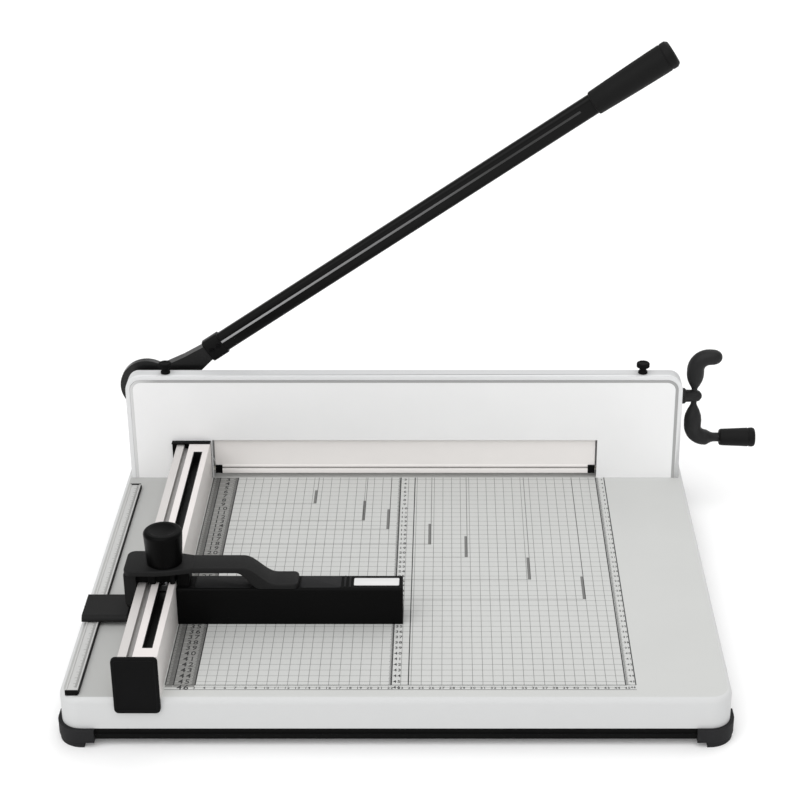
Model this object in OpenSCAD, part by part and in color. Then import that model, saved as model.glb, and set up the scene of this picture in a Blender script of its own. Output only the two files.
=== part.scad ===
// Lever paper cutter with a screw clamp and a sliding back gauge.
// Millimetres. X runs along the blade, Y from the operator to the back, Z up.

/* [Base] */
// Width of the base, along the blade
base_w = 652; // [646:2:760]
// Depth of the base, front to back
base_d = 534; // [480:2:640]
// Plan radius of the base corners
base_corner_r = 22; // [14:1:36]
// Clear height under the base pan
foot_h = 8; // [6:0.5:16]
// Height of the black pan rim
pan_h = 12; // [9:0.5:16]
// Height of the white skirt, from the pan rim to the table top
skirt_h = 34; // [30:1:50]
// Rounding of the table's top edge
table_edge_r = 6; // [4:1:10]
// Thickness of the table top
table_t = 6; // [5:0.5:8]
// Thickness of the skirt wall
table_wall = 4; // [3:0.5:6]
// Thickness of the pan floor and rim
pan_t = 3; // [2:0.5:5]
// Depth of the line around the pan rim
pan_line = 1; // [0.5:0.1:2]
// How far a corner bumper stands proud of the base
bumper_proud = 4; // [2:0.5:5]
// How far a corner bumper runs along each side
bumper_wrap = 34; // [30:1:50]
// How far a corner bumper hangs below the pan
bumper_hang = 2; // [1:0.5:4]
// How far the foot pad runs along each side
pad_wrap = 24; // [22:1:30]
// Diameter of the foot screws
foot_screw_d = 5; // [4:0.5:6]

/* [Guide rail] */
// Distance of the rail from the left edge of the base
rail_inset = 62; // [58:0.5:64]
// Width of the rail
rail_w = 38.5; // [38:0.5:44]
// Height of the rail
rail_h = 48; // [44:1:56]
// Wall of the rail extrusion
rail_wall = 3; // [2:0.5:4]
// Width of the ledge on the rail's left side
ledge_w = 8.6; // [7:0.2:9]
// Step down of the ledge
ledge_drop = 2; // [1:0.5:4]
// Width of the rail groove
groove_w = 6.2; // [5:0.2:6.4]
// Depth of the rail groove
groove_depth = 8; // [6:0.5:10]
// Width of the T-slot's neck
slot_w = 8.4; // [7.4:0.2:9]
// Depth of the T-slot's neck
slot_lip = 6; // [4:0.5:7]
// Width of the T-slot's chamber
slot_chamber_w = 16; // [14:0.5:17]
// Height of the T-slot's chamber
slot_chamber_h = 8; // [7:0.5:9]
// Distance of the T-slot's axis from the rail's right side
slot_inset = 11.5; // [10.5:0.5:13]
// Closed length at the front end of the T-slot
slot_front = 16; // [10:1:30]
// Closed length at the rear end of the T-slot
slot_rear = 25; // [10:1:40]
// Thickness of the rail's front cap
front_cap_t = 4; // [3:0.5:8]
// How far the front cap hangs below the table top
front_cap_drop = 14; // [6:1:20]
// Overhang of both caps past the rail's left side
cap_over = 6; // [0:0.5:8]
// Thickness of the rail's rear cap
rear_cap_t = 3; // [2:0.5:5]

/* [Ruler strip] */
// Distance of the strip from the left edge of the base
strip_inset = 8; // [6:0.5:12]
// Width of the strip
strip_w = 12; // [10:0.5:16]
// Height of the strip
strip_h = 5; // [4:0.5:8]
// Depth of the scale bed in the strip's top
strip_bed = 0.8; // [0.4:0.1:1.5]
// Bare table in front of the strip
strip_front = 8; // [6:1:30]
// Bare table between the strip and the housing
strip_rear = 26; // [10:1:60]
// Thickness of the strip's end plugs
plug_t = 2; // [1:0.5:4]

/* [Housing] */
// Distance of the housing's ends from the sides of the base
housing_inset = 6; // [4:0.5:10]
// Distance of the housing's front face from the rear edge of the base
housing_setback = 79; // [79:1:100]
// Height of the housing cover above the table
housing_h = 131; // [131:1:150]
// Thickness of the cover's walls
cover_wall = 5; // [3:0.5:6]
// Rounding of the cover's upper corners, seen from the front
cover_corner_r = 18; // [10:1:24]
// Plan radius of the cover's rear corners
cover_rear_r = 9; // [6:0.5:9]
// Depth of the flat top of the cover
cover_flat = 17; // [15:1:24]
// Fall of the cover's rear slope
cover_fall = 13; // [8:1:14]
// Seam between the cover and the front plate
seam = 0.6; // [0.3:0.1:1]
// Thickness of the front plate
front_t = 2; // [1.5:0.5:3]
// Width of the cutting window
window_w = 448; // [440:1:452]
// Height of the cutting window
window_h = 49; // [48:1:50]
// Width of a frame post
post_w = 28; // [27:1:34]
// Height of the top beam
beam_h = 10; // [8:0.5:11]
// Depth of the top beam
beam_d = 24; // [20:1:25]
// Thickness of the rear plate
rear_t = 5; // [4:0.5:6]
// Margin of the rear plate below the posts' tops
rear_drop = 6; // [5:0.5:8]
// Diameter of the thumb screws' heads
thumb_d = 15; // [12:0.5:18]
// Height of the thumb screws above the cover
thumb_h = 14.5; // [12:0.5:18]
// Diameter of the thumb screws' threads
thumb_thread_d = 6; // [5:0.5:7]
// Distance of the thumb screws behind the housing's front face
thumb_setback = 9; // [9:0.5:15]
// Distance of the thumb screws from the housing's ends
thumb_inset = 46; // [40:1:60]

/* [Lever] */
// Distance of the lever pivot from the left edge of the base
pivot_inset = 31.5; // [29:0.5:34]
// Height of the lever pivot above the table
pivot_h = 87; // [84:0.5:90]
// Diameter of the pivot bolt's shoulder
pivot_d = 16; // [12:0.5:18]
// Wall of the pivot bush
bush_wall = 3; // [2:0.5:4]
// Radius of the hub's disc
hub_r = 32; // [30:0.5:36]
// Thickness of the hub's disc
disc_t = 8; // [6:0.5:10]
// Distance of the disc's centre behind the pivot, along the lever
hub_back = 2.5; // [0:0.5:6]
// Distance of the disc's centre above the pivot, square to the lever
hub_rise = 11; // [0:0.5:11]
// Thickness of the hub's boss and neck
hub_t = 14; // [14:0.5:16]
// Angle of the lever above level, at rest
arm_rest = 34.1; // [30:0.1:40]
// Angle that the lever swings down
arm_swing = 32.5; // [25:0.5:34]
// Offset of the lever tube's axis above the pivot
arm_offset = 5; // [0:0.5:6]
// Length of the lever from the pivot to the tip
lever_l = 717; // [600:1:800]
// Length of the neck from the pivot to the tube's mouth
neck_l = 84; // [80:1:96]
// Height of the neck at the tube's mouth
neck_h = 18; // [14:1:18]
// Length of the hub's tongue in the tube
tongue_l = 44; // [30:1:50]
// Height of the lever tube, in the plane of its swing
tube_h = 24; // [21:0.5:26]
// Thickness of the lever tube
tube_t = 14; // [10:0.5:16]
// Wall of the lever tube
tube_wall = 2; // [1.5:0.25:3]
// Length of the hand grip
grip_l = 103; // [90:1:140]
// Diameter of the hand grip at its inner end
grip_inner_d = 28; // [27:0.5:30]
// Diameter of the hand grip at its outer end
grip_outer_d = 32; // [30:0.5:35]
// Rounding of the hand grip's ends
grip_r = 5; // [3:0.5:8]
// Depth of the tube in the hand grip
grip_depth = 80; // [50:1:85]
// Diameter of the rivets through the socket
rivet_d = 6; // [4:0.5:8]
// Distance of the drive pin from the pivot
pin_orbit = 92; // [88:0.5:94]
// Angle of the drive pin above level, at rest
pin_rest = 8.25; // [7:0.25:10]
// Diameter of the drive pin
pin_d = 9; // [7:0.5:9]
// Diameter of the drive roller
roller_d = 14; // [13:0.5:14]
// Thickness of the lug that carries the drive pin
lug_t = 8; // [7:0.5:8]
// Width of the lug
lug_w = 19; // [18:1:24]

/* [Blade] */
// Sideways travel of the blade over a full stroke
blade_shift = 24; // [18:1:25]
// Width of the left way at the table
way_foot = 59; // [57:0.5:60]
// Width of the right way at the table
way_toe = 4; // [3:0.5:6]
// Length of the blade
blade_l = 460; // [452:1:464]
// Height of the blade
blade_h = 49; // [45:1:52]
// Thickness of the blade
blade_t = 4; // [3:0.5:5]
// Height of the ground bevel
bevel_h = 12; // [8:1:18]
// Height of the blade carrier
carrier_h = 41; // [40:0.5:42]
// Thickness of the blade carrier
carrier_t = 10; // [9:0.5:11]
// Part of the blade that hangs below the carrier
blade_hang = 22; // [20:1:24]
// Depth of the groove in the carrier's ends
tongue_h = 4; // [3:0.5:5]
// Thickness of the tongue on the ways
tongue_t = 4; // [3:0.5:5]
// Number of blade screws
blade_screws_n = 5; // [3:1:7]
// Diameter of the blade screws' heads
blade_screw_d = 9; // [7:0.5:11]
// Length of the cutting stick
stick_l = 470; // [466:1:480]
// Width of the cutting stick
stick_w = 10; // [8:0.5:14]
// Height of the cutting stick
stick_h = 4.5; // [3:0.5:4.5]
// Depth of the kerf in the cutting stick
kerf = 1.5; // [1:0.1:2]

/* [Clamp] */
// Gap under the clamp, at rest
clamp_gap = 5; // [4.5:0.1:6]
// Lift of the clamp
clamp_lift = 42; // [30:1:42]
// Thickness of the clamp plate
clamp_t = 6; // [5:0.5:6]
// Height of the clamp's crossbar
clamp_bar_h = 24; // [20:1:24]
// Height of the clamp's foot strip
clamp_foot_h = 10; // [8:0.5:14]
// Step of the clamp's foot strip in front of the plate
clamp_foot_step = 1.6; // [0.8:0.1:2]
// Length of a black end block of the clamp
end_block_w = 8; // [5:0.5:12]
// Side gap between the clamp and the window
clamp_side = 2; // [1:0.5:4]
// Distance of each cam from the middle, with the clamp down
cam_x = 110; // [90:1:120]
// Thickness of a cam plate
cam_t = 3.6; // [3:0.2:4]
// Diameter of the follower pins on the clamp
follower_d = 8; // [6:0.5:9]
// Border of a cam plate around its slot
cam_border = 7; // [5:0.5:9]
// Length of a clamp nut
nut_l = 26; // [20:1:32]
// Size of a clamp nut, square to the screw
nut_s = 9.4; // [9.2:0.1:10]
// Diameter of the clamp screw
screw_d = 6; // [5:0.5:7]
// Height of the clamp screw above the table
screw_h = 97.6; // [96:0.2:100]
// Thickness of the clamp screw's collars
collar_t = 2.4; // [1.5:0.1:3]
// Outer diameter of the screw bushes
screw_bush_d = 14; // [12:0.5:16]

/* [Crank] */
// Diameter of the crank's boss
boss_d = 18.5; // [16:0.5:20]
// Length of the crank's boss, from the cover
boss_l = 15.5; // [14:0.5:18]
// Radius of the arms at the boss
arm_inner_r = 4.5; // [4:0.5:6]
// Radius of the arms where they are thickest
arm_mid_r = 10.5; // [9:0.5:12]
// Radius of the arms at the bends
arm_outer_r = 9.5; // [8:0.5:11]
// Radius of the upper arm's tip
arm_tip_r = 9; // [7:0.5:10]
// Length from the upper arm's bend to its tip
arm_tip_l = 5.5; // [4:0.5:10]
// Height of the upper arm's bent end above the screw
upper_reach = 49; // [44:1:56]
// Depth of the lower arm's bent end below the screw
lower_reach = 53.5; // [44:0.5:56]
// Radius of the arms' bends
bend_r = 15.5; // [14:0.5:17]
// Diameter of the cap nut's nose
nose_d = 11; // [8:0.5:12]
// Length of the cap nut's nose, past the arms
nose_l = 4; // [3.5:0.5:7]
// Diameter of the grip's spindle
spindle_d = 7; // [6:0.5:9]
// Length of the turning grip
crank_grip_l = 42; // [36:1:56]
// Diameter of the turning grip at its inner end
crank_grip_inner_d = 19.5; // [16:0.5:20]
// Diameter of the turning grip at its outer end
crank_grip_outer_d = 23; // [20:0.5:26]

/* [Back gauge] */
// Distance of the gauge's knob from the front edge of the base
gauge_y = 149; // [139:1:300]
// Length of the saddle along the rail
saddle_l = 43; // [42:1:60]
// Thickness of the saddle over the rail
saddle_t = 17.5; // [16:0.5:22]
// Thickness of the saddle's top plate
saddle_plate = 5.5; // [4:0.5:7]
// Set-back of the saddle's body under its plate
saddle_step = 3; // [2:0.5:4]
// Plan radius of the saddle's corners
saddle_corner_r = 8; // [5:0.5:12]
// Thickness of the saddle's left leg
leg_t = 12.5; // [8:0.5:14]
// Depth of the saddle's rib in the rail's groove
rib_depth = 4; // [3:0.5:5]
// Length of the fence
fence_l = 229.5; // [200:0.5:260]
// Height of the fence
fence_h = 41.5; // [36:0.5:43]
// Depth of the fence, front to back
fence_d = 28; // [24:0.5:32]
// Distance of the fence's front face from the knob's axis
fence_front = 15; // [12:0.5:18]
// Wall of the fence
fence_wall = 3; // [2:0.5:4]
// Rounding of the fence's upper edges
fence_edge_r = 2.5; // [1:0.5:4]
// Thickness of the handle over the fence
handle_t = 5.5; // [5:0.5:7]
// Depth of the handle, front to back
handle_d = 28; // [20:0.5:28]
// Length of the finger slit under the handle
slit_l = 50; // [40:1:60]
// Length of the handle's seat on the fence
pad_l = 22; // [16:1:30]
// Length of the handle's fall to its seat
fall_l = 34; // [28:1:40]
// Length of the pointer along the rail
pointer_l = 44; // [36:1:50]
// Thickness of the pointer
pointer_t = 6; // [3:0.5:8]
// Diameter of the gauge knob at its top
knob_d = 39.5; // [36:0.5:42]
// Diameter of the gauge knob at its foot
knob_foot_d = 36; // [32:0.5:40]
// Height of the gauge knob
knob_h = 36; // [30:0.5:40]
// Rounding of the knob's top edge
knob_r = 3.5; // [2:0.5:6]
// Diameter of the dish in the knob's top
dish_d = 28; // [18:0.5:30]
// Depth of the dish in the knob's top
dish_depth = 2.5; // [1:0.5:4]
// Diameter of the gauge bolt
gauge_bolt_d = 7; // [6:0.5:7]

/* [Clearances] */
// Gap between flat faces that slide
slide_gap = 0.3; // [0.2:0.05:0.4]
// Radial clearance of a pin in its bore
run_gap = 0.05; // [0.03:0.01:0.08]
// Clearance of a piece that seats in a pocket
seat_gap = 0.1; // [0.05:0.05:0.2]
// Gap between curved faces of different moving pieces
round_gap = 0.5; // [0.3:0.1:0.8]
// Play of the drive roller in its slot
roller_gap = 1; // [0.8:0.1:1.2]

/* [Hidden] */
$fn = 48;

// Edges of the base, and heights above the floor
left = -base_w / 2;
right = base_w / 2;
front = -base_d / 2;
rear = base_d / 2;
skirt_z = foot_h + pan_h;
table_z = skirt_z + skirt_h;
end_x = right - housing_inset;
cut = 1;

// Layers of the housing, from its front face to the lever's bolt head
y_front = rear - housing_setback;
y_posts = y_front + front_t;
y_clamp_foot = y_posts + slide_gap;
y_clamp = y_clamp_foot + clamp_foot_step;
y_cam = y_clamp + clamp_t + slide_gap;
y_nut = y_cam + cam_t;
blade_room = 1.8;
y_blade = y_nut + nut_s + blade_room;
y_carrier = y_blade + blade_t;
y_rear = y_carrier + carrier_t + slide_gap;
y_back = y_rear + rear_t;
washer_t = 7;
y_hub = y_back + washer_t + slide_gap;
y_head = y_hub + hub_t + slide_gap;
head_t = 6.5;
screw_y = y_nut + nut_s / 2;
screw_z = table_z + screw_h;

// Frame inside the cover
cover_z = table_z + housing_h;
beam_z = cover_z - cover_wall - beam_h;
post_out = end_x - cover_wall;
post_in = post_out - post_w;
rear_top = beam_z - rear_drop;

// Lever pivot and its drive pin, raised and lowered
pivot_x = left + pivot_inset;
pivot_z = table_z + pivot_h;
pin_low = pin_rest - arm_swing;
pin_x = pivot_x + pin_orbit * cos(pin_rest);
pin_z = pivot_z + pin_orbit * sin(pin_rest);
pin_low_x = pivot_x + pin_orbit * cos(pin_low);
pin_far_x = pivot_x + pin_orbit;
pin_room = 5;
y_arm = y_hub + hub_t / 2;

// Blade stroke, from the drive pin
stroke = pin_orbit * (sin(pin_rest) - sin(pin_low));
slope = blade_shift / stroke;
edge_z = table_z + stroke;
carrier_z = edge_z + blade_hang;
carrier_top = carrier_z + carrier_h;
function way_left_x(z) = -post_in + way_foot - slope * (z - table_z);
function way_right_x(z) = post_in - way_toe - slope * (z - table_z);

// Clamp at rest
clamp_z = table_z + clamp_gap;
clamp_half = window_w / 2 - clamp_side;
bar_room = 2;
bar_top = beam_z - clamp_lift - bar_room;
bar_z = bar_top - clamp_bar_h;
follower_z = bar_z + clamp_bar_h / 2;

// Guide rail and gauge
rail_x = left + rail_inset;
rail_right = rail_x + rail_w;
rail_z = table_z + rail_h;
rail_end = y_front - rear_cap_t;
slot_x = rail_right - slot_inset;
gauge_axis_y = front + gauge_y;
leg_x = rail_x - slide_gap - leg_t;
saddle_z = rail_z + slide_gap;
saddle_foot = 18;
saddle_right = rail_right + saddle_foot;
fence_x = rail_right + slide_gap;
fence_y = gauge_axis_y - fence_front;
fence_z = table_z + slide_gap;
fence_top = fence_z + fence_h;
slit_h = saddle_z + saddle_t - handle_t - fence_top;
pointer_z = table_z + strip_h + slide_gap;

// Crank arms
boss_x = end_x + slide_gap;
arm_x = boss_x + boss_l;
nose_room = 0.6;
nose_x = arm_x + arm_inner_r + nose_room;
bend_x = arm_x + bend_r;
elbow_l = 8;
stem_l = 16;
stem_r = 5.5;
grip_x = bend_x + stem_l + slide_gap;
grip_end = grip_x + crank_grip_l;

// The whole stands with its bounding box centred over the origin
box_left = pivot_x - hub_back * cos(arm_rest) - hub_rise * sin(arm_rest) - hub_r;
box_front = front - front_cap_t;
box_rear = rear + bumper_proud;
origin = [-(box_left + grip_end) / 2, -(box_front + box_rear) / 2, 0];

// Extrudes an X-Z outline from y0 to y1
module along_y(y0, y1) {
    translate([0, y1, 0]) rotate([90, 0, 0]) linear_extrude(y1 - y0) children();
}

// Extrudes a Y-Z outline from x0 to x1
module along_x(x0, x1) {
    translate([x0, 0, 0]) rotate([90, 0, 90]) linear_extrude(x1 - x0) children();
}

// Rectangle with four round corners, centred
module round_rect(w, d, r) {
    square([w - 2 * r, d], center = true);
    square([w, d - 2 * r], center = true);
    for (sx = [-1, 1], sy = [-1, 1])
        translate([sx * (w / 2 - r), sy * (d / 2 - r)]) circle(r);
}

// Rectangle standing on zero, with its two upper corners round
module arch(w, h, r) {
    translate([-w / 2, 0]) square([w, h - r]);
    translate([-w / 2 + r, 0]) square([w - 2 * r, h]);
    for (sx = [-1, 1]) translate([sx * (w / 2 - r), h - r]) circle(r);
}

// Slab with round plan corners and a round top edge
module soft_slab(w, d, h, r, e) {
    along_x(-w / 2 + r, w / 2 - r) arch(d, h, e);
    along_y(-d / 2 + r, d / 2 - r) arch(w, h, e);
    for (sx = [-1, 1], sy = [-1, 1])
        translate([sx * (w / 2 - r), sy * (d / 2 - r), 0])
            rotate_extrude() intersection() {
                arch(2 * r, h, e);
                square([r, h]);
            }
}

// Slot outline with round ends, along X
module slot(x0, x1, z, r) {
    translate([x0 + r, z - r]) square([x1 - x0 - 2 * r, 2 * r]);
    for (x = [x0 + r, x1 - r]) translate([x, z]) circle(r);
}

module place() {
    translate(origin) children();
}

// Base

module stick_pocket(gap, depth) {
    translate([-stick_l / 2 - gap, y_blade - stick_w / 2 - gap, table_z - depth])
        cube([stick_l + 2 * gap, stick_w + 2 * gap, depth + cut]);
}

module table() {
    color("gainsboro") difference() {
        translate([0, 0, skirt_z])
            soft_slab(base_w, base_d, skirt_h, base_corner_r, table_edge_r);
        translate([0, 0, skirt_z - cut])
            linear_extrude(skirt_h - table_t + cut)
                round_rect(base_w - 2 * table_wall, base_d - 2 * table_wall, base_corner_r - table_wall);
        stick_pocket(seat_gap, stick_h);
    }
}

module cutting_stick() {
    color("ivory") difference() {
        translate([-stick_l / 2, y_blade - stick_w / 2, table_z - stick_h])
            cube([stick_l, stick_w, stick_h]);
        translate([-stick_l / 2 - cut, y_blade - slide_gap, table_z - kerf])
            cube([stick_l + 2 * cut, blade_t, kerf + cut]);
    }
}

module foot_screw_places() {
    for (sx = [-1, 1], sy = [-1, 1])
        translate([sx * (base_w - pad_wrap) / 2, sy * (base_d - pad_wrap) / 2, 0]) children();
}

module base_pan() {
    line_z = pan_h / 2;
    color("black") difference() {
        translate([0, 0, foot_h]) {
            linear_extrude(line_z) round_rect(base_w, base_d, base_corner_r);
            linear_extrude(pan_h)
                round_rect(base_w - 2 * pan_line, base_d - 2 * pan_line, base_corner_r - pan_line);
        }
        translate([0, 0, foot_h + pan_t]) linear_extrude(pan_h)
            round_rect(base_w - 2 * pan_t - 2 * pan_line, base_d - 2 * pan_t - 2 * pan_line,
                base_corner_r - pan_t - pan_line);
        foot_screw_places() cylinder(d = foot_screw_d + 2 * seat_gap, h = foot_h + pan_h);
    }
}

module foot_outline(proud, wrap) {
    intersection() {
        round_rect(base_w + 2 * proud, base_d + 2 * proud, base_corner_r + proud);
        translate([right - wrap, rear - wrap]) square(wrap + 2 * bumper_proud);
    }
}

// Bumper with a smaller pad under it that stands on the floor
module foot_block() {
    difference() {
        union() {
            translate([0, 0, foot_h - bumper_hang])
                linear_extrude(pan_h + bumper_hang) foot_outline(bumper_proud, bumper_wrap);
            linear_extrude(foot_h) foot_outline(bumper_proud - 1, pad_wrap);
        }
        translate([0, 0, foot_h]) linear_extrude(2 * pan_h)
            round_rect(base_w + 2 * seat_gap, base_d + 2 * seat_gap, base_corner_r + seat_gap);
        foot_screw_places() {
            translate([0, 0, -cut]) cylinder(d = foot_screw_d + 2 * seat_gap, h = foot_h + 2 * cut);
            translate([0, 0, -cut]) cylinder(d = 2 * foot_screw_d + 2 * seat_gap, h = foot_h / 2 + cut);
        }
    }
}

module foot_rear_right() { color("dimgray") foot_block(); }
module foot_rear_left() { color("dimgray") mirror([1, 0, 0]) foot_block(); }
module foot_front_right() { color("dimgray") mirror([0, 1, 0]) foot_block(); }
module foot_front_left() { color("dimgray") mirror([1, 0, 0]) mirror([0, 1, 0]) foot_block(); }

module foot_screws() {
    head = foot_h / 4;
    color("silver") foot_screw_places() {
        translate([0, 0, foot_h / 2 - head]) cylinder(d = 2 * foot_screw_d, h = head);
        translate([0, 0, foot_h / 2 - head]) cylinder(d = foot_screw_d, h = head + foot_h / 2 + pan_t + cut);
    }
}

// Guide rail, with its T-slot closed at both ends

module rail_outline() {
    difference() {
        translate([rail_x, table_z]) square([rail_w, rail_h]);
        translate([rail_x - cut, rail_z - ledge_drop]) square([ledge_w + cut, ledge_drop + cut]);
        translate([rail_x + ledge_w, rail_z - groove_depth]) square([groove_w, groove_depth + cut]);
        rail_chambers();
    }
}

module rail_chambers() {
    mid = slot_x - slot_chamber_w / 2 - rail_wall / 2;
    floor_z = table_z + rail_wall;
    left_top = rail_z - groove_depth - rail_wall;
    right_top = rail_z - slot_lip - slot_chamber_h - rail_wall;
    translate([rail_x + rail_wall, floor_z])
        square([mid - rail_wall / 2 - rail_x - rail_wall, left_top - floor_z]);
    translate([mid + rail_wall / 2, floor_z])
        square([rail_right - rail_wall - mid - rail_wall / 2, right_top - floor_z]);
}

module slot_outline() {
    translate([slot_x - slot_w / 2, rail_z - slot_lip - cut]) square([slot_w, slot_lip + 2 * cut]);
    translate([slot_x - slot_chamber_w / 2, rail_z - slot_lip - slot_chamber_h])
        square([slot_chamber_w, slot_chamber_h]);
}

module guide_rail() {
    color("silver") difference() {
        along_y(front, rail_end) rail_outline();
        along_y(front + slot_front, rail_end - slot_rear) slot_outline();
    }
}

module rail_front_cap() {
    r = 2;
    color("black") along_y(front - front_cap_t, front)
        translate([rail_x + (rail_w - cap_over) / 2, table_z + (rail_h - front_cap_drop) / 2])
            round_rect(rail_w + cap_over, rail_h + front_cap_drop, r);
}

module rail_rear_cap() {
    color("black") along_y(rail_end, y_front)
        translate([rail_x - cap_over, table_z]) square([rail_w + cap_over, rail_h]);
}

module ruler_strip() {
    wall = 1.5;
    color("silver") difference() {
        along_y(front + strip_front, y_front - strip_rear)
            translate([left + strip_inset, table_z]) square([strip_w, strip_h]);
        along_y(front, y_front)
            translate([left + strip_inset + wall, table_z + strip_h - strip_bed])
                square([strip_w - 2 * wall, strip_bed + cut]);
    }
}

module strip_plugs() {
    color("black") for (y = [front + strip_front - plug_t, y_front - strip_rear])
        along_y(y, y + plug_t) translate([left + strip_inset, table_z]) square([strip_w, strip_h]);
}

// Housing

module cover_side(drop) {
    polygon([
        [y_front - drop, table_z - drop], [y_front - drop, cover_z - drop],
        [y_front + cover_flat, cover_z - drop], [y_back, cover_z - cover_fall - drop],
        [y_back + drop, cover_z - cover_fall - drop], [y_back + drop, table_z - drop]
    ]);
}

module cover_outline(inset) {
    translate([0, table_z]) arch(2 * end_x - 2 * inset, housing_h - inset, cover_corner_r - inset);
}

// Room inside the cover, smaller than it by a gap
module cover_room(gap) {
    intersection() {
        along_y(y_front, y_back + cover_wall) cover_outline(cover_wall + gap);
        along_x(left, right) cover_side(cover_wall + gap);
    }
}

module blade_cover() {
    color("white") difference() {
        intersection() {
            along_y(y_front, y_back) cover_outline(0);
            along_x(left, right) cover_side(0);
        }
        intersection() {
            translate([0, -cut, 0]) along_y(y_front, y_back + 2 * cover_wall + cut)
                translate([0, -cut]) cover_outline_open();
            along_x(left, right) cover_side(cover_wall);
        }
        along_x(post_out - cut, right + cut) translate([screw_y, screw_z]) circle(d = screw_d + 2 * round_gap);
        for (sx = [-1, 1]) thumb_place(sx) cylinder(d = thumb_thread_d + 2 * round_gap, h = 2 * cover_wall + cut, center = true);
        rear_corners();
    }
}

// What the rounding of the housing's two rear corners takes away
module rear_corners() {
    r = cover_rear_r;
    for (sx = [0, 1]) mirror([sx, 0, 0]) translate([end_x - r, y_back - r, table_z - cut])
        linear_extrude(housing_h + 2 * cut) difference() {
            square(r + cut);
            circle(r);
        }
}

module cover_outline_open() {
    cover_outline(cover_wall);
    translate([-post_out, table_z - cut]) square([2 * post_out, 2 * cut]);
    translate([0, cut]) cover_outline(cover_wall);
}

module thumb_place(side) {
    translate([side * (end_x - thumb_inset), y_front + thumb_setback, cover_z]) children();
}

module window_outline() {
    translate([-window_w / 2, table_z - cut]) square([window_w, window_h + cut]);
}

module front_plate() {
    color("whitesmoke") along_y(y_front, y_posts) difference() {
        cover_outline(cover_wall + seam);
        window_outline();
    }
}

module post() {
    color("gray") intersection() {
        along_y(y_posts, y_rear) translate([post_in, table_z]) square([post_w, beam_z - table_z]);
        cover_room(seat_gap);
    }
}

module bush_bore(x0, x1) {
    along_x(x0, x1) translate([screw_y, screw_z]) circle(d = screw_bush_d + 2 * run_gap);
}

pivot_seat = 9;

module frame_post_left() {
    color("gray") difference() {
        mirror([1, 0, 0]) post();
        bush_bore(-post_out - cut, -post_in + cut);
        along_y(y_rear - pivot_seat, y_rear + cut)
            translate([pivot_x, pivot_z]) circle(d = pivot_d - 2 * pivot_step + 2 * run_gap);
    }
}

module frame_post_right() {
    color("gray") difference() {
        post();
        bush_bore(post_in - cut, post_out + cut);
    }
}

module top_beam() {
    color("gray") difference() {
        intersection() {
            along_y(y_posts, y_posts + beam_d) translate([-post_out, beam_z]) square([2 * post_out, beam_h]);
            cover_room(seat_gap);
        }
        for (sx = [-1, 1]) thumb_place(sx)
            translate([0, 0, -cover_wall - beam_h - cut]) cylinder(d = thumb_thread_d + 2 * run_gap, h = beam_h + 2 * cut);
    }
}

module rear_plate() {
    pin_half = pin_d / 2 + pin_room;
    color("gray") difference() {
        along_y(y_rear, y_back) translate([-post_out + seat_gap, table_z])
            square([2 * post_out - 2 * seat_gap, rear_top - table_z]);
        along_y(y_rear - cut, y_back + cut) {
            window_outline();
            translate([pin_low_x - pin_half, table_z + window_h - cut])
                square([pin_far_x - pin_low_x + 2 * pin_half, pin_z + pin_half - table_z - window_h + cut]);
            translate([pivot_x, pivot_z]) circle(d = pivot_d - 2 * pivot_step + 2 * run_gap);
        }
        rear_corners();
    }
}

// Inclined ways, each with a tongue that holds the blade carrier front to back

tongue_y = y_carrier + (carrier_t - tongue_t) / 2;

module way_outline_left(reach) {
    polygon([
        [-post_in, table_z], [way_left_x(table_z) + reach, table_z],
        [way_left_x(beam_z) + reach, beam_z], [-post_in, beam_z]
    ]);
}

module way_outline_right(reach) {
    polygon([
        [post_in, table_z], [way_right_x(table_z) - reach, table_z],
        [way_right_x(beam_z) - reach, beam_z], [post_in, beam_z]
    ]);
}

module way_left() {
    color("darkgray") intersection() {
        union() {
            along_y(y_carrier, y_rear) way_outline_left(0);
            along_y(tongue_y, tongue_y + tongue_t) way_outline_left(tongue_h);
        }
        cover_room(seat_gap);
    }
}

module way_right() {
    color("darkgray") intersection() {
        union() {
            along_y(y_carrier, y_rear) way_outline_right(0);
            along_y(tongue_y, tongue_y + tongue_t) way_outline_right(tongue_h);
        }
        cover_room(seat_gap);
    }
}

module screw_bush_left() {
    color("goldenrod") along_x(-post_out, -post_in) translate([screw_y, screw_z]) difference() {
        circle(d = screw_bush_d);
        circle(d = screw_d + 2 * run_gap);
    }
}

module screw_bush_right() {
    color("goldenrod") along_x(post_in, post_out) translate([screw_y, screw_z]) difference() {
        circle(d = screw_bush_d);
        circle(d = screw_d + 2 * run_gap);
    }
}

module thumb_screw() {
    r = thumb_d / 2;
    foot_r = thumb_d * 0.37;
    waist_r = thumb_d * 0.25;
    color("black") {
        rotate_extrude() polygon([
            [0, slide_gap], [foot_r, slide_gap], [foot_r, thumb_h * 0.16], [waist_r, thumb_h * 0.34],
            [waist_r, thumb_h * 0.46], [r, thumb_h * 0.66], [r, thumb_h - 1], [r - 1, thumb_h], [0, thumb_h]
        ]);
        translate([0, 0, 1 - cover_wall - beam_h]) cylinder(d = thumb_thread_d, h = cover_wall + beam_h);
    }
}

module thumb_screw_left() { thumb_place(-1) thumb_screw(); }
module thumb_screw_right() { thumb_place(1) thumb_screw(); }

// Lever pivot

pivot_step = 2;

module pivot_bolt() {
    color("silver") translate([pivot_x, 0, pivot_z]) {
        along_y(y_rear - pivot_seat + seat_gap, y_back) circle(d = pivot_d - 2 * pivot_step);
        along_y(y_back, y_head) circle(d = pivot_d);
        along_y(y_head, y_head + head_t) circle(d = pivot_d + 2 * bush_wall, $fn = 6);
    }
}

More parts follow.
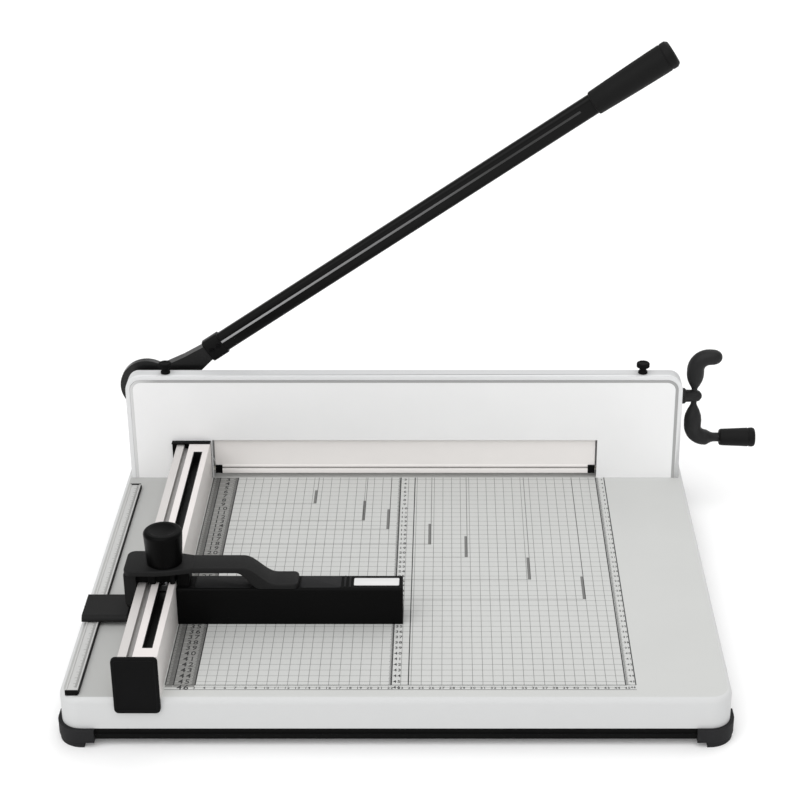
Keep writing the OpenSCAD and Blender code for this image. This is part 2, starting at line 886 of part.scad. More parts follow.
module pivot_washer() {
    color("silver") translate([pivot_x, 0, pivot_z]) along_y(y_back, y_back + washer_t) difference() {
        circle(d = 2 * pivot_d);
        circle(d = pivot_d + 2 * run_gap);
    }
}

// Lever, drawn level with its axis on X, then raised to its rest angle

module raise_lever() {
    translate([pivot_x, 0, pivot_z]) rotate([0, -arm_rest, 0]) children();
}

module tube_outline(inset) {
    translate([y_arm, arm_offset])
        round_rect(tube_t - 2 * inset, tube_h - 2 * inset, tube_t / 2 - 1 - inset);
}

lug_angle = pin_rest - arm_rest;
rivet_pitch = tongue_l / 2;

module rivet_places() {
    for (i = [0, 1]) translate([neck_l + tongue_l / 4 + i * rivet_pitch, arm_offset]) children();
}

module neck_outline() {
    half = neck_h / 2;
    middle = neck_l * 0.64;
    polygon([
        [0, -hub_r * 0.65], [hub_r * 0.85, -hub_r * 0.6], [middle, arm_offset - half - 6], [neck_l, arm_offset - half],
        [neck_l, arm_offset + half], [middle, arm_offset + half + 2.5], [hub_r, arm_offset + half + 6],
        [hub_r * 0.55, hub_r * 0.68], [0, hub_r * 0.6]
    ]);
}

module lever_tongue() {
    round_r = 3;
    along_x(neck_l - hub_t, neck_l + tongue_l) translate([y_arm, arm_offset])
        round_rect(tube_t - 2 * tube_wall - 2 * seat_gap, neck_h - 2, round_r);
}

module lever_hub() {
    boss_wall = 5;
    color("black") raise_lever() difference() {
        union() {
            along_y(y_hub, y_hub + disc_t) translate([-hub_back, hub_rise]) circle(hub_r);
            along_y(y_hub, y_hub + hub_t) {
                circle(d = pivot_d + 2 * bush_wall + 2 * boss_wall);
                neck_outline();
            }
            lever_tongue();
            along_y(y_hub, y_hub + lug_t) rotate(lug_angle) {
                translate([0, -lug_w / 2]) square([pin_orbit, lug_w]);
                translate([pin_orbit, 0]) circle(d = lug_w);
            }
        }
        along_y(y_hub - cut, y_hub + hub_t + cut) circle(d = pivot_d + 2 * bush_wall + 2 * run_gap);
        along_y(y_hub - cut, y_hub + lug_t + cut)
            rotate(lug_angle) translate([pin_orbit, 0]) circle(d = pin_d + 2 * run_gap);
        along_y(y_hub - cut, y_hub + hub_t + cut) rivet_places() circle(d = rivet_d + 2 * run_gap);
    }
}

module lever_tube() {
    tube_end = lever_l - grip_l + grip_depth;
    color("black") raise_lever() difference() {
        along_x(neck_l + seat_gap, tube_end) tube_outline(0);
        along_x(neck_l, tube_end + cut) tube_outline(tube_wall);
        along_y(y_hub - cut, y_hub + hub_t + cut) rivet_places() circle(d = rivet_d + 2 * run_gap);
    }
}

module lever_rivets() {
    color("silver") raise_lever() along_y(y_hub, y_hub + hub_t) rivet_places() circle(d = rivet_d);
}

module lever_grip() {
    inner = grip_inner_d / 2;
    outer = grip_outer_d / 2;
    start = lever_l - grip_l;
    color("black") raise_lever() difference() {
        translate([start, y_arm, arm_offset]) rotate([0, 90, 0]) rotate_extrude() union() {
            polygon([
                [0, 0], [inner - grip_r, 0], [inner, grip_r], [outer, grip_l - grip_r],
                [outer - grip_r, grip_l], [0, grip_l]
            ]);
            translate([inner - grip_r, grip_r]) circle(grip_r);
            translate([outer - grip_r, grip_l - grip_r]) circle(grip_r);
        }
        along_x(start - cut, start + grip_depth + seat_gap) tube_outline(-seat_gap);
    }
}

module pivot_bush() {
    color("goldenrod") translate([pivot_x, 0, pivot_z]) along_y(y_hub, y_hub + hub_t) difference() {
        circle(d = pivot_d + 2 * bush_wall);
        circle(d = pivot_d + 2 * run_gap);
    }
}

module drive_pin() {
    color("silver") translate([pin_x, 0, pin_z])
        along_y(y_carrier + slide_gap, y_hub + lug_t) circle(d = pin_d);
}

module drive_roller() {
    color("goldenrod") translate([pin_x, 0, pin_z])
        along_y(y_carrier + slide_gap, y_carrier + carrier_t) difference() {
            circle(d = roller_d);
            circle(d = pin_d + 2 * run_gap);
        }
}

// Blade, on a carrier that the drive roller pulls down along the ways

blade_x = -blade_l / 2 - blade_shift;
blade_screw_z = carrier_z + (edge_z + blade_h - carrier_z) / 2;

module blade_screw_places(margin) {
    pitch = (blade_l - 2 * margin) / (blade_screws_n - 1);
    for (i = [0 : blade_screws_n - 1]) translate([blade_x + margin + i * pitch, blade_screw_z]) children();
}

blade_margin = 24;
blade_thread_d = 5;
blade_thread_l = 7;

module carrier_end_left(reach) {
    low = carrier_z - cut;
    high = carrier_top + cut;
    polygon([
        [way_left_x(low) + reach, low], [way_left_x(high) + reach, high], [-post_out, high], [-post_out, low]
    ]);
}

module carrier_end_right(reach) {
    low = carrier_z - cut;
    high = carrier_top + cut;
    polygon([
        [way_right_x(low) - reach, low], [way_right_x(high) - reach, high], [post_out, high], [post_out, low]
    ]);
}

module blade_carrier() {
    roller_half = roller_d / 2 + roller_gap;
    groove = tongue_t + 2 * slide_gap;
    color("lightgray") difference() {
        along_y(y_carrier, y_carrier + carrier_t)
            translate([-post_out, carrier_z]) square([2 * post_out, carrier_h]);
        along_y(y_carrier - cut, y_rear + cut) {
            carrier_end_left(slide_gap);
            carrier_end_right(slide_gap);
            slot(pin_low_x - blade_shift - roller_half, pin_x + roller_half, pin_z, roller_half);
        }
        along_y(tongue_y - slide_gap, tongue_y - slide_gap + groove) {
            carrier_end_left(tongue_h + 2 * slide_gap);
            carrier_end_right(tongue_h + 2 * slide_gap);
        }
        along_y(y_carrier - cut, y_carrier + blade_thread_l + seat_gap)
            blade_screw_places(blade_margin) circle(d = blade_thread_d + 2 * run_gap);
    }
}

module blade() {
    color("silver") difference() {
        along_x(blade_x, blade_x + blade_l) polygon([
            [y_blade, edge_z], [y_blade + blade_t, edge_z + bevel_h],
            [y_blade + blade_t, edge_z + blade_h], [y_blade, edge_z + blade_h]
        ]);
        along_y(y_blade - cut, y_carrier + cut)
            blade_screw_places(blade_margin) circle(d = blade_screw_d + 2 * run_gap);
    }
}

module blade_screws() {
    color("dimgray") {
        along_y(y_blade, y_carrier) blade_screw_places(blade_margin) circle(d = blade_screw_d);
        along_y(y_blade, y_carrier + blade_thread_l) blade_screw_places(blade_margin) circle(d = blade_thread_d);
    }
}

// Clamp: two nuts on a left and right handed screw carry cams that lift it

module clamp_plate() {
    bar_half = post_in - slide_gap;
    color("white") along_y(y_clamp, y_clamp + clamp_t) {
        translate([-clamp_half, clamp_z]) square([2 * clamp_half, bar_top - clamp_z]);
        translate([-bar_half, bar_z]) square([2 * bar_half, clamp_bar_h]);
    }
}

module clamp_foot() {
    half = clamp_half - end_block_w;
    color("whitesmoke") along_y(y_clamp_foot, y_clamp)
        translate([-half, clamp_z]) square([2 * half, clamp_foot_h]);
}

module clamp_end_blocks() {
    color("black") for (x = [-clamp_half, clamp_half - end_block_w])
        along_y(y_clamp_foot, y_clamp) translate([x, clamp_z]) square([end_block_w, clamp_foot_h]);
}

module clamp_pins() {
    color("silver") for (sx = [-1, 1])
        along_y(y_clamp + clamp_t, y_nut - slide_gap) translate([sx * cam_x, follower_z]) circle(d = follower_d);
}

module cam_slot(r) {
    run = clamp_lift * sqrt(2);
    rotate(45) {
        translate([0, -r]) square([run, 2 * r]);
        circle(r);
        translate([run, 0]) circle(r);
    }
}

// Right-hand nut at rest: its slot climbs towards the middle
module clamp_nut() {
    r = follower_d / 2 + slide_gap;
    border = r + cam_border;
    color("goldenrod") difference() {
        union() {
            along_y(y_cam, y_nut) translate([cam_x - clamp_lift - border, follower_z - border])
                square([clamp_lift + 2 * border, clamp_lift + 2 * border]);
            along_x(cam_x - clamp_lift / 2 - nut_l / 2, cam_x - clamp_lift / 2 + nut_l / 2)
                translate([y_nut, screw_z - nut_s / 2]) square([nut_s, nut_s]);
        }
        along_y(y_cam - cut, y_nut) translate([cam_x, follower_z]) mirror([1, 0, 0]) cam_slot(r);
        along_x(0, right) translate([screw_y, screw_z]) circle(d = screw_d + 2 * run_gap);
    }
}

module clamp_nut_right() { clamp_nut(); }
module clamp_nut_left() { mirror([1, 0, 0]) clamp_nut(); }

module clamp_screw() {
    collar_d = screw_d + 4;
    collar_x = post_in - slide_gap - collar_t;
    color("silver") {
        along_x(-post_out + seat_gap, nose_x) translate([screw_y, screw_z]) circle(d = screw_d);
        for (x = [-collar_x - collar_t, collar_x])
            along_x(x, x + collar_t) translate([screw_y, screw_z]) circle(d = collar_d);
    }
}

// Crank arms, each a taper that swells into a bend

module at_screw() {
    translate([0, screw_y, screw_z]) children();
}

module crank_arm(reach) {
    rise = reach - bend_r;
    waist = boss_d / 2;
    middle = waist + 0.7 * (rise - waist);
    translate([arm_x, 0, 0]) {
        cylinder(r = arm_inner_r, h = waist);
        translate([0, 0, waist]) cylinder(r1 = arm_inner_r, r2 = arm_mid_r, h = middle - waist);
        translate([0, 0, middle]) cylinder(r1 = arm_mid_r, r2 = arm_outer_r, h = rise - middle);
    }
    translate([bend_x, 0, rise]) mirror([1, 0, 0]) rotate([90, 0, 0])
        rotate_extrude(angle = 90) translate([bend_r, 0]) circle(arm_outer_r);
}

module crank_boss() {
    flange = boss_l / 3;
    step = 2;
    along_x(boss_x, boss_x + flange) circle(d = boss_d);
    along_x(boss_x, nose_x) circle(d = boss_d - 2 * step);
}

module crank_arms() {
    color("dimgray") at_screw() difference() {
        union() {
            crank_boss();
            crank_arm(upper_reach);
            translate([bend_x, 0, upper_reach]) rotate([0, 90, 0])
                cylinder(r1 = arm_outer_r, r2 = arm_tip_r, h = arm_tip_l);
            translate([bend_x + arm_tip_l, 0, upper_reach]) sphere(arm_tip_r);
            mirror([0, 0, 1]) crank_arm(lower_reach);
            translate([bend_x, 0, -lower_reach]) rotate([0, 90, 0])
                cylinder(r1 = arm_outer_r, r2 = stem_r, h = elbow_l);
            along_x(bend_x, bend_x + stem_l) translate([0, -lower_reach]) circle(stem_r);
        }
        along_x(end_x, nose_x + cut) circle(d = screw_d + 2 * run_gap);
        translate([bend_x, 0, -lower_reach]) rotate([0, 90, 0])
            cylinder(d = spindle_d + 2 * run_gap, h = stem_l + cut);
    }
}

module crank_cap() {
    color("dimgray") at_screw() translate([nose_x, 0, 0]) rotate([0, 90, 0]) rotate_extrude() intersection() {
        union() {
            square([nose_d / 2, nose_l - nose_d / 4]);
            translate([0, nose_l - nose_d / 2]) circle(d = nose_d);
        }
        square([nose_d, nose_l]);
    }
}

spindle_head = 3;

module grip_spindle() {
    color("silver") at_screw() translate([0, 0, -lower_reach])
        along_x(bend_x + seat_gap, grip_end - spindle_head) circle(d = spindle_d);
}

module crank_grip() {
    r = 2.5;
    inner = crank_grip_inner_d / 2;
    outer = crank_grip_outer_d / 2;
    color("black") at_screw() translate([grip_x, 0, -lower_reach]) rotate([0, 90, 0]) rotate_extrude() difference() {
        union() {
            polygon([
                [0, 0], [inner - r, 0], [inner, r], [outer, crank_grip_l - r],
                [outer - r, crank_grip_l], [0, crank_grip_l]
            ]);
            translate([inner - r, r]) circle(r);
            translate([outer - r, crank_grip_l - r]) circle(r);
        }
        translate([-cut, -cut]) square([spindle_d / 2 + run_gap + cut, crank_grip_l - spindle_head + slide_gap + cut]);
    }
}

// Back gauge

// Plan of the saddle's plate, which narrows to the handle past the knob
module saddle_plate_outline() {
    r = saddle_corner_r;
    broad = slot_x + r;
    front_y = fence_y + fence_d / 2 - handle_d / 2;
    translate([(leg_x + broad) / 2, gauge_axis_y]) round_rect(broad - leg_x, saddle_l, r);
    polygon([
        [slot_x, gauge_axis_y - saddle_l / 2], [saddle_right, front_y],
        [saddle_right, front_y + handle_d], [slot_x, gauge_axis_y + saddle_l / 2]
    ]);
}

module gauge_saddle() {
    half = saddle_l / 2 - saddle_step;
    rib_x = rail_x + ledge_w + groove_w / 2;
    rib_w = groove_w - 4 * slide_gap;
    plate_z = saddle_z + saddle_t - saddle_plate;
    color("darkslategray") difference() {
        union() {
            translate([0, 0, plate_z]) linear_extrude(saddle_plate) saddle_plate_outline();
            along_y(gauge_axis_y - half, gauge_axis_y + half) {
                translate([leg_x, saddle_z]) square([fence_x - leg_x, saddle_t - saddle_plate]);
                translate([leg_x, pointer_z]) square([leg_t, saddle_z - pointer_z]);
                translate([rib_x - rib_w / 2, rail_z - rib_depth]) square([rib_w, rib_depth + slide_gap]);
            }
            along_y(fence_y, fence_y + fence_d) translate([fence_x + seat_gap, fence_top])
                square([saddle_right - fence_x - seat_gap, saddle_z + saddle_t - fence_top]);
        }
        translate([slot_x, gauge_axis_y, rail_z]) cylinder(d = gauge_bolt_d + 2 * run_gap, h = saddle_t + 2 * cut);
    }
}

module gauge_fence() {
    color("black") translate([0, fence_y + fence_d / 2, fence_z]) difference() {
        along_x(fence_x, fence_x + fence_l) arch(fence_d, fence_h, fence_edge_r);
        along_x(fence_x + fence_wall, fence_x + fence_l - fence_wall)
            translate([-fence_d / 2 + fence_wall, -cut]) square([fence_d - 2 * fence_wall, fence_h - fence_wall + cut]);
    }
}

// Smooth fall from 1 to 0 as t goes from 0 to 1
function fall(t) = (1 + cos(180 * min(1, max(0, t)))) / 2;

handle_steps = 16;
handle_pad_t = 5;
slit_end_l = 24;
slit_end_back = 6;

module handle_outline() {
    x0 = saddle_right;
    x1 = x0 + slit_l;
    x2 = x1 + fall_l;
    x3 = x2 + pad_l;
    high = slit_h + handle_t - handle_pad_t;
    top = [for (i = [0 : handle_steps]) [x1 + fall_l * i / handle_steps, handle_pad_t + high * fall(i / handle_steps)]];
    under = [for (i = [handle_steps : -1 : 0])
        [x1 - slit_end_back + slit_end_l * i / handle_steps, slit_h * fall(i / handle_steps)]];
    translate([0, fence_top]) polygon(concat(
        [[x0, slit_h + handle_t]], top, [[x3, handle_pad_t], [x3, 0]], under, [[x0, slit_h]]
    ));
}

module gauge_handle() {
    mid = fence_y + fence_d / 2;
    color("black") along_y(mid - handle_d / 2, mid + handle_d / 2) handle_outline();
}

module pointer_outline() {
    lip = 1;
    r = pointer_t - lip;
    translate([r, 0]) square([pointer_l - r, pointer_t]);
    intersection() {
        square([pointer_l, pointer_t]);
        union() {
            translate([r, lip]) circle(r);
            square([r, lip]);
        }
    }
}

module gauge_pointer() {
    tip = 3;
    rear_y = gauge_axis_y + pointer_l / 2 + tip;
    color("black") along_x(left + tip, leg_x) translate([rear_y - pointer_l, pointer_z]) pointer_outline();
}

bolt_in_knob = 24;

module gauge_bolt() {
    head_w = slot_chamber_w - 4 * slide_gap;
    head_h = slot_chamber_h - 4 * slide_gap;
    head_top = rail_z - slot_lip - slide_gap;
    color("silver") translate([slot_x, gauge_axis_y, 0]) {
        translate([-head_w / 2, -head_w / 2, head_top - head_h]) cube([head_w, head_w, head_h]);
        translate([0, 0, head_top - head_h])
            cylinder(d = gauge_bolt_d, h = saddle_z + saddle_t + bolt_in_knob - head_top + head_h);
    }
}

module gauge_knob() {
    r = knob_d / 2;
    dish_r = (dish_d * dish_d / 4 + dish_depth * dish_depth) / (2 * dish_depth);
    color("black") translate([slot_x, gauge_axis_y, saddle_z + saddle_t + slide_gap]) difference() {
        rotate_extrude() union() {
            polygon([[0, 0], [knob_foot_d / 2, 0], [r, knob_h - knob_r], [r - knob_r, knob_h], [0, knob_h]]);
            translate([r - knob_r, knob_h - knob_r]) circle(knob_r);
        }
        translate([0, 0, knob_h - dish_depth + dish_r]) sphere(dish_r);
        translate([0, 0, -cut]) cylinder(d = gauge_bolt_d + 2 * run_gap, h = bolt_in_knob + cut + slide_gap);
    }
}

place() {
    table();
    base_pan();
    foot_front_left();
    foot_front_right();
    foot_rear_left();
    foot_rear_right();
    foot_screws();
    guide_rail();
    rail_front_cap();
    rail_rear_cap();
    ruler_strip();
    strip_plugs();
    front_plate();
    blade_cover();
    frame_post_left();
    frame_post_right();
    way_left();
    way_right();
    rear_plate();
    top_beam();
    cutting_stick();
    pivot_bolt();
    pivot_washer();
    screw_bush_left();
    screw_bush_right();
    thumb_screw_left();
    thumb_screw_right();
    lever_hub();
    lever_tube();
    lever_grip();
    lever_rivets();
    pivot_bush();
    drive_pin();
    drive_roller();
    blade_carrier();
    blade();
    blade_screws();
    clamp_screw();
    crank_arms();
    crank_cap();
    grip_spindle();
    crank_grip();
    clamp_plate();
    clamp_foot();
    clamp_end_blocks();
    clamp_pins();
    clamp_nut_left();
    clamp_nut_right();
    gauge_saddle();
    gauge_fence();
    gauge_handle();
    gauge_pointer();
    gauge_bolt();
    gauge_knob();
}
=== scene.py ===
# %% [markdown]
# # A lever paper cutter
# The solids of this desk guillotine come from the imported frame, and this script gives them their
# finishes, prints the grid and scales on the table, and adds the small trim that a solid model leaves
# out. Everything is in metres, in the frame's own axes: X along the blade, Y to the back, Z up.

# %% Load the frame
import math
import bmesh
import bpy
from mathutils import Matrix, Vector


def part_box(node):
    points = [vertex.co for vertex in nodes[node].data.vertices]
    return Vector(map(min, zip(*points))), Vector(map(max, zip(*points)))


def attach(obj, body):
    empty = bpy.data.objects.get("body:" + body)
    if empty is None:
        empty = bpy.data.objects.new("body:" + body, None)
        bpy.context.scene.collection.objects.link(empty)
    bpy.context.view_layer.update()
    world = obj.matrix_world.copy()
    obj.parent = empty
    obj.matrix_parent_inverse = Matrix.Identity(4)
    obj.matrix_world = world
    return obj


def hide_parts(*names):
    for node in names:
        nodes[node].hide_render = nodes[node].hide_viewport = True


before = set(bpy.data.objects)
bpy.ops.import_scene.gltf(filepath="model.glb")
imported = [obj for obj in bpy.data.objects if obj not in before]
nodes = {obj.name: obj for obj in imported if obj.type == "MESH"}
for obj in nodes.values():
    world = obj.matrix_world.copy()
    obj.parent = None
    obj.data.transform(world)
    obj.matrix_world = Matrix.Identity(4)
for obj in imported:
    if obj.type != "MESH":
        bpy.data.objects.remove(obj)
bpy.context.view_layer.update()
MM = 0.001


def middle(node):
    """The middle of a solid's box at rest."""
    low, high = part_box(node)
    return (low + high) / 2


table_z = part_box("table")[1].z
plate_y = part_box("front_plate")[0].y
blade_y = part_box("blade")[0].y
rail_low, rail_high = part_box("guide_rail")
rail_right = rail_high.x
print("solids:", len(nodes), "table top at", round(table_z, 4))

# %% [markdown]
# ## Camera
# The photograph looks down on the table from in front, with the long edges level and the depth lines
# meeting a little right of the middle. That is a level, long-lens camera with a small sideways shift,
# so the lens, the pitch and the shift are set directly instead of aiming the camera at a target.

# %% Camera
CAMERA_ASIDE = 51.5 * MM
CAMERA_BACK = 1994 * MM
CAMERA_UP = 1052 * MM
CAMERA_PITCH = 25.5
camera_data = bpy.data.cameras.new("photo_camera")
camera_data.lens = 86.4
camera_data.sensor_width = 36.0
camera_data.shift_x = -0.06125
camera_data.clip_end = 100.0
camera = bpy.data.objects.new("photo_camera", camera_data)
camera.location = (middle("table").x + CAMERA_ASIDE, plate_y - CAMERA_BACK, table_z + CAMERA_UP)
camera.rotation_euler = (math.radians(90 - CAMERA_PITCH), 0, 0)
bpy.context.scene.collection.objects.link(camera)
bpy.context.scene.camera = camera
print("camera at", tuple(round(v, 3) for v in camera.location))

# %% [markdown]
# ## Studio
# The photograph is a catalogue picture: white all round, light from everywhere, and only faint shadows.
# A white world gives the even part of that light. A sun lamp with a very wide disc adds soft light from
# above and in front, and unlike an area lamp it lights the far floor as well as the near one, so the
# backdrop stays white to the edges of the picture. A trace of emission keeps the floor from going grey.

# %% Floor


def link_mesh(name, bm):
    """Turns a bmesh into an object of the scene."""
    mesh = bpy.data.meshes.new(name)
    bm.to_mesh(mesh)
    bm.free()
    made = bpy.data.objects.new(name, mesh)
    bpy.context.scene.collection.objects.link(made)
    return made


def set_inputs(node, **values):
    """Sets the inputs of a shader node by name, with underscores for spaces."""
    for name, value in values.items():
        node.inputs[name.replace("_", " ")].default_value = value


bm = bmesh.new()
bmesh.ops.create_circle(bm, cap_ends=True, segments=64, radius=40.0)
floor = link_mesh("floor", bm)
floor_paint = bpy.data.materials.new("floor_paint")
floor_paint.use_nodes = True
set_inputs(floor_paint.node_tree.nodes["Principled BSDF"], Base_Color=(0.93, 0.93, 0.93, 1), Roughness=0.9,
           Specular_IOR_Level=0.1, Emission_Color=(1.0, 1.0, 1.0, 1), Emission_Strength=0.08)
floor.data.materials.append(floor_paint)
print("floor laid")

# %% Light
world = bpy.data.worlds.new("studio_white")
world.use_nodes = True
set_inputs(world.node_tree.nodes["Background"], Color=(1.0, 1.0, 1.0, 1), Strength=0.55)
bpy.context.scene.world = world
bpy.context.scene.view_settings.view_transform = "Standard"


def wide_sun(name, tilt_x, tilt_y, strength, angle):
    """A sun lamp with a broad disc; the tilts turn it from straight down, in degrees."""
    data = bpy.data.lights.new(name, "SUN")
    data.energy = strength
    data.angle = math.radians(angle)
    lamp = bpy.data.objects.new(name, data)
    lamp.rotation_euler = (math.radians(tilt_x), math.radians(tilt_y), 0)
    lamp.location = (0, 0, 3)
    bpy.context.scene.collection.objects.link(lamp)


wide_sun("sun_front", 32, -14, 1.7, 70)
wide_sun("sun_back", -38, 20, 0.7, 60)

# %% [markdown]
# ## Finishes
# Each finish is a Principled shader with four things layered on it: a faint mottling of the colour, a
# grain in the surface, softened edges and a little wear. The solids have sharp edges, where real paint
# and plastic roll over a small radius, so a Bevel node bends the normals there and a highlight runs
# along every edge. The same bent normal, compared with the true one, shows where the edges are, and the
# colour is lightened there as rubbed paint is.

# %% Helpers for nodes
MOTTLE_SCALE = 14.0
ROUGH_SPREAD = 0.08


def add_node(tree, kind, **values):
    """Adds a shader node and sets its inputs by name."""
    node = tree.nodes.new("ShaderNode" + kind)
    set_inputs(node, **values)
    return node


def mix_colour(material, factor, colour):
    """Mixes a second colour into a finish, as far as a factor says."""
    tree = material.node_tree
    base = tree.nodes["Principled BSDF"].inputs["Base Color"]
    mix = add_node(tree, "Mix")
    mix.data_type = "RGBA"
    mix.inputs["B"].default_value = (*colour, 1)
    tree.links.new(factor, mix.inputs["Factor"])
    tree.links.new(base.links[0].from_socket, mix.inputs["A"])
    tree.links.new(mix.outputs["Result"], base)


print("node helpers ready")

# %% A helper for finishes


def finish(name, colour, roughness, metallic=0.0, mottle=0.1, grain=0.15, grain_scale=900.0, edge=0.6,
           coat=0.0, specular=0.5, wear=0.0):
    """A shader with mottled colour, grained roughness, a fine bump, soft edges and wear; edge is in mm."""
    material = bpy.data.materials.new(name)
    material.use_nodes = True
    tree = material.node_tree
    link = tree.links.new
    shader = tree.nodes["Principled BSDF"]
    set_inputs(shader, Metallic=metallic, Specular_IOR_Level=specular, Coat_Weight=coat, Coat_Roughness=0.12)
    place = add_node(tree, "TexCoord").outputs["Object"]
    cloud = add_node(tree, "TexNoise", Scale=MOTTLE_SCALE, Detail=5.0)
    link(place, cloud.inputs["Vector"])
    ramp = add_node(tree, "ValToRGB")
    dark, light = ramp.color_ramp.elements
    dark.position = 0.3
    dark.color = (*(c * (1 - mottle) for c in colour), 1)
    light.position = 0.7
    light.color = (*(min(1.0, c * (1 + mottle)) for c in colour), 1)
    link(cloud.outputs["Fac"], ramp.inputs["Fac"])
    link(ramp.outputs["Color"], shader.inputs["Base Color"])
    speck = add_node(tree, "TexNoise", Scale=grain_scale, Detail=3.0)
    link(place, speck.inputs["Vector"])
    spread = add_node(tree, "MapRange", To_Min=max(0.02, roughness - ROUGH_SPREAD),
                      To_Max=min(1.0, roughness + ROUGH_SPREAD))
    link(speck.outputs["Fac"], spread.inputs["Value"])
    link(spread.outputs["Result"], shader.inputs["Roughness"])
    soft_edge = add_node(tree, "Bevel", Radius=edge * MM)
    soft_edge.samples = 6
    bump = add_node(tree, "Bump", Strength=grain, Distance=0.2 * MM)
    link(speck.outputs["Fac"], bump.inputs["Height"])
    link(soft_edge.outputs["Normal"], bump.inputs["Normal"])
    link(bump.outputs["Normal"], shader.inputs["Normal"])
    if wear > 0:
        agree = add_node(tree, "VectorMath")
        agree.operation = "DOT_PRODUCT"
        link(soft_edge.outputs["Normal"], agree.inputs[0])
        link(add_node(tree, "NewGeometry").outputs["True Normal"], agree.inputs[1])
        rubbed = add_node(tree, "MapRange", From_Min=1.0, From_Max=0.75, To_Max=wear)
        link(agree.outputs["Value"], rubbed.inputs["Value"])
        mix_colour(material, rubbed.outputs["Result"], [min(1.0, c * 2.2 + 0.03) for c in colour])
    return material


def grey(tone):
    """A neutral colour."""
    return (tone, tone, tone)


def dress(material, *names):
    """Gives a finish to every material slot of the named solids."""
    for name in names:
        for slot in nodes[name].material_slots:
            slot.material = material


print("finish helper ready")

# %% [markdown]
# ## Tone by place
# Some pieces change tone from one place to another: paint that ends at a line, a slot that lies in the
# dark, a line that fades out. Such a change is drawn in the material, on the point's own X, Y and Z, so it
# stays where it is when the camera moves.

# %% Helpers for tone


def place_on_axes(tree):
    """The X, Y and Z of a point, on Object coordinates."""
    split = add_node(tree, "SeparateXYZ")
    tree.links.new(add_node(tree, "TexCoord").outputs["Object"], split.inputs["Vector"])
    return split.outputs


def tint_inside(material, colour, **ranges):
    """Gives a finish another colour inside ranges of X, Y or Z."""
    tree = material.node_tree
    place = place_on_axes(tree)
    inside = None
    for axis, (low, high) in ranges.items():
        for limit, test in ((low, "GREATER_THAN"), (high, "LESS_THAN")):
            compare = add_node(tree, "Math")
            compare.operation = test
            compare.inputs[1].default_value = limit
            tree.links.new(place[axis], compare.inputs[0])
            if inside is not None:
                both = add_node(tree, "Math")
                both.operation = "MULTIPLY"
                tree.links.new(inside.outputs["Value"], both.inputs[0])
                tree.links.new(compare.outputs["Value"], both.inputs[1])
                compare = both
            inside = compare
    mix_colour(material, inside.outputs["Value"], colour)


def fade_along(material, axis, start, end, faded):
    """Fades a finish to another colour between two places on an axis."""
    tree = material.node_tree
    ramp = add_node(tree, "MapRange", From_Min=start, From_Max=end)
    tree.links.new(place_on_axes(tree)[axis], ramp.inputs["Value"])
    mix_colour(material, ramp.outputs["Result"], faded)


print("tone helpers ready")

# %% [markdown]
# ## Painted metal
# The table is one casting: its working face is a flat mid grey, and the skirt, where the edge rolls over, is
# painted a lighter grey, a painted highlight for the light it catches. The step is drawn on the height of the
# point, so that it follows the rounded edge exactly. The table left of the rail and the bed under the clamp
# are painted darker, a painted shade. The front plate, the cover and the clamp are powder coated in slightly
# different whites, as they are in the photograph, and the cover is painted greyer behind its front rim, a
# painted shade on its top and sides.

# %% Paints
table_paint = finish("table_paint", (0.56, 0.565, 0.553), 0.55, grain=0.25, grain_scale=1400, mottle=0.012,
                     specular=0.3)
plate_paint = finish("plate_paint", grey(0.89), 0.45, grain_scale=1600, mottle=0.01, specular=0.3)
cover_paint = finish("cover_paint", (0.78, 0.785, 0.79), 0.4, grain_scale=1600, mottle=0.01,
                     edge=1.5, specular=0.35)
clamp_paint = finish("clamp_paint", (0.90, 0.87, 0.85), 0.4, grain=0.1, mottle=0.01, specular=0.3)
rear_paint = finish("rear_paint", (0.62, 0.63, 0.64), 0.5, grain=0.2, mottle=0.02)
FAR = 1.0
clamp_low, clamp_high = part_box("clamp_plate")
# Painted shade: the table left of the rail, in front of the plate, is darker.
tint_inside(table_paint, (0.44, 0.443, 0.433), X=(-FAR, middle("guide_rail").x), Y=(-FAR, plate_y))
# Painted shade: the bed under the clamp, seen through the window, is darker.
tint_inside(table_paint, (0.38, 0.38, 0.37), X=(clamp_low.x, clamp_high.x),
            Y=(plate_y + 1 * MM, clamp_high.y + 20 * MM))
# Painted highlight: the skirt below the rolled edge is lighter than the working face.
tint_inside(table_paint, (0.605, 0.61, 0.61), Z=(0, table_z - 0.3 * MM))
# Painted shade: the cover is greyer behind its front rim, on its top and sides.
fade_along(cover_paint, "Y", plate_y + 1.5 * MM, plate_y + 5 * MM, (0.60, 0.605, 0.61))
dress(table_paint, "table")
dress(plate_paint, "front_plate")
dress(cover_paint, "blade_cover")
dress(clamp_paint, "clamp_plate", "clamp_foot")
dress(rear_paint, "rear_plate")
print("paints:", [m.name for m in bpy.data.materials if m.name.endswith("paint")])

# %% [markdown]
# ## Black plastics and black paint
# Nearly everything the hand touches is black, but no two blacks are alike: the fence is the deepest, the
# saddle and the crank are a softer charcoal, the bumpers are rubber, and the lever has a gloss paint that
# catches the light along its length. Specular is kept low on the matt ones, so that the white room does
# not turn them grey.

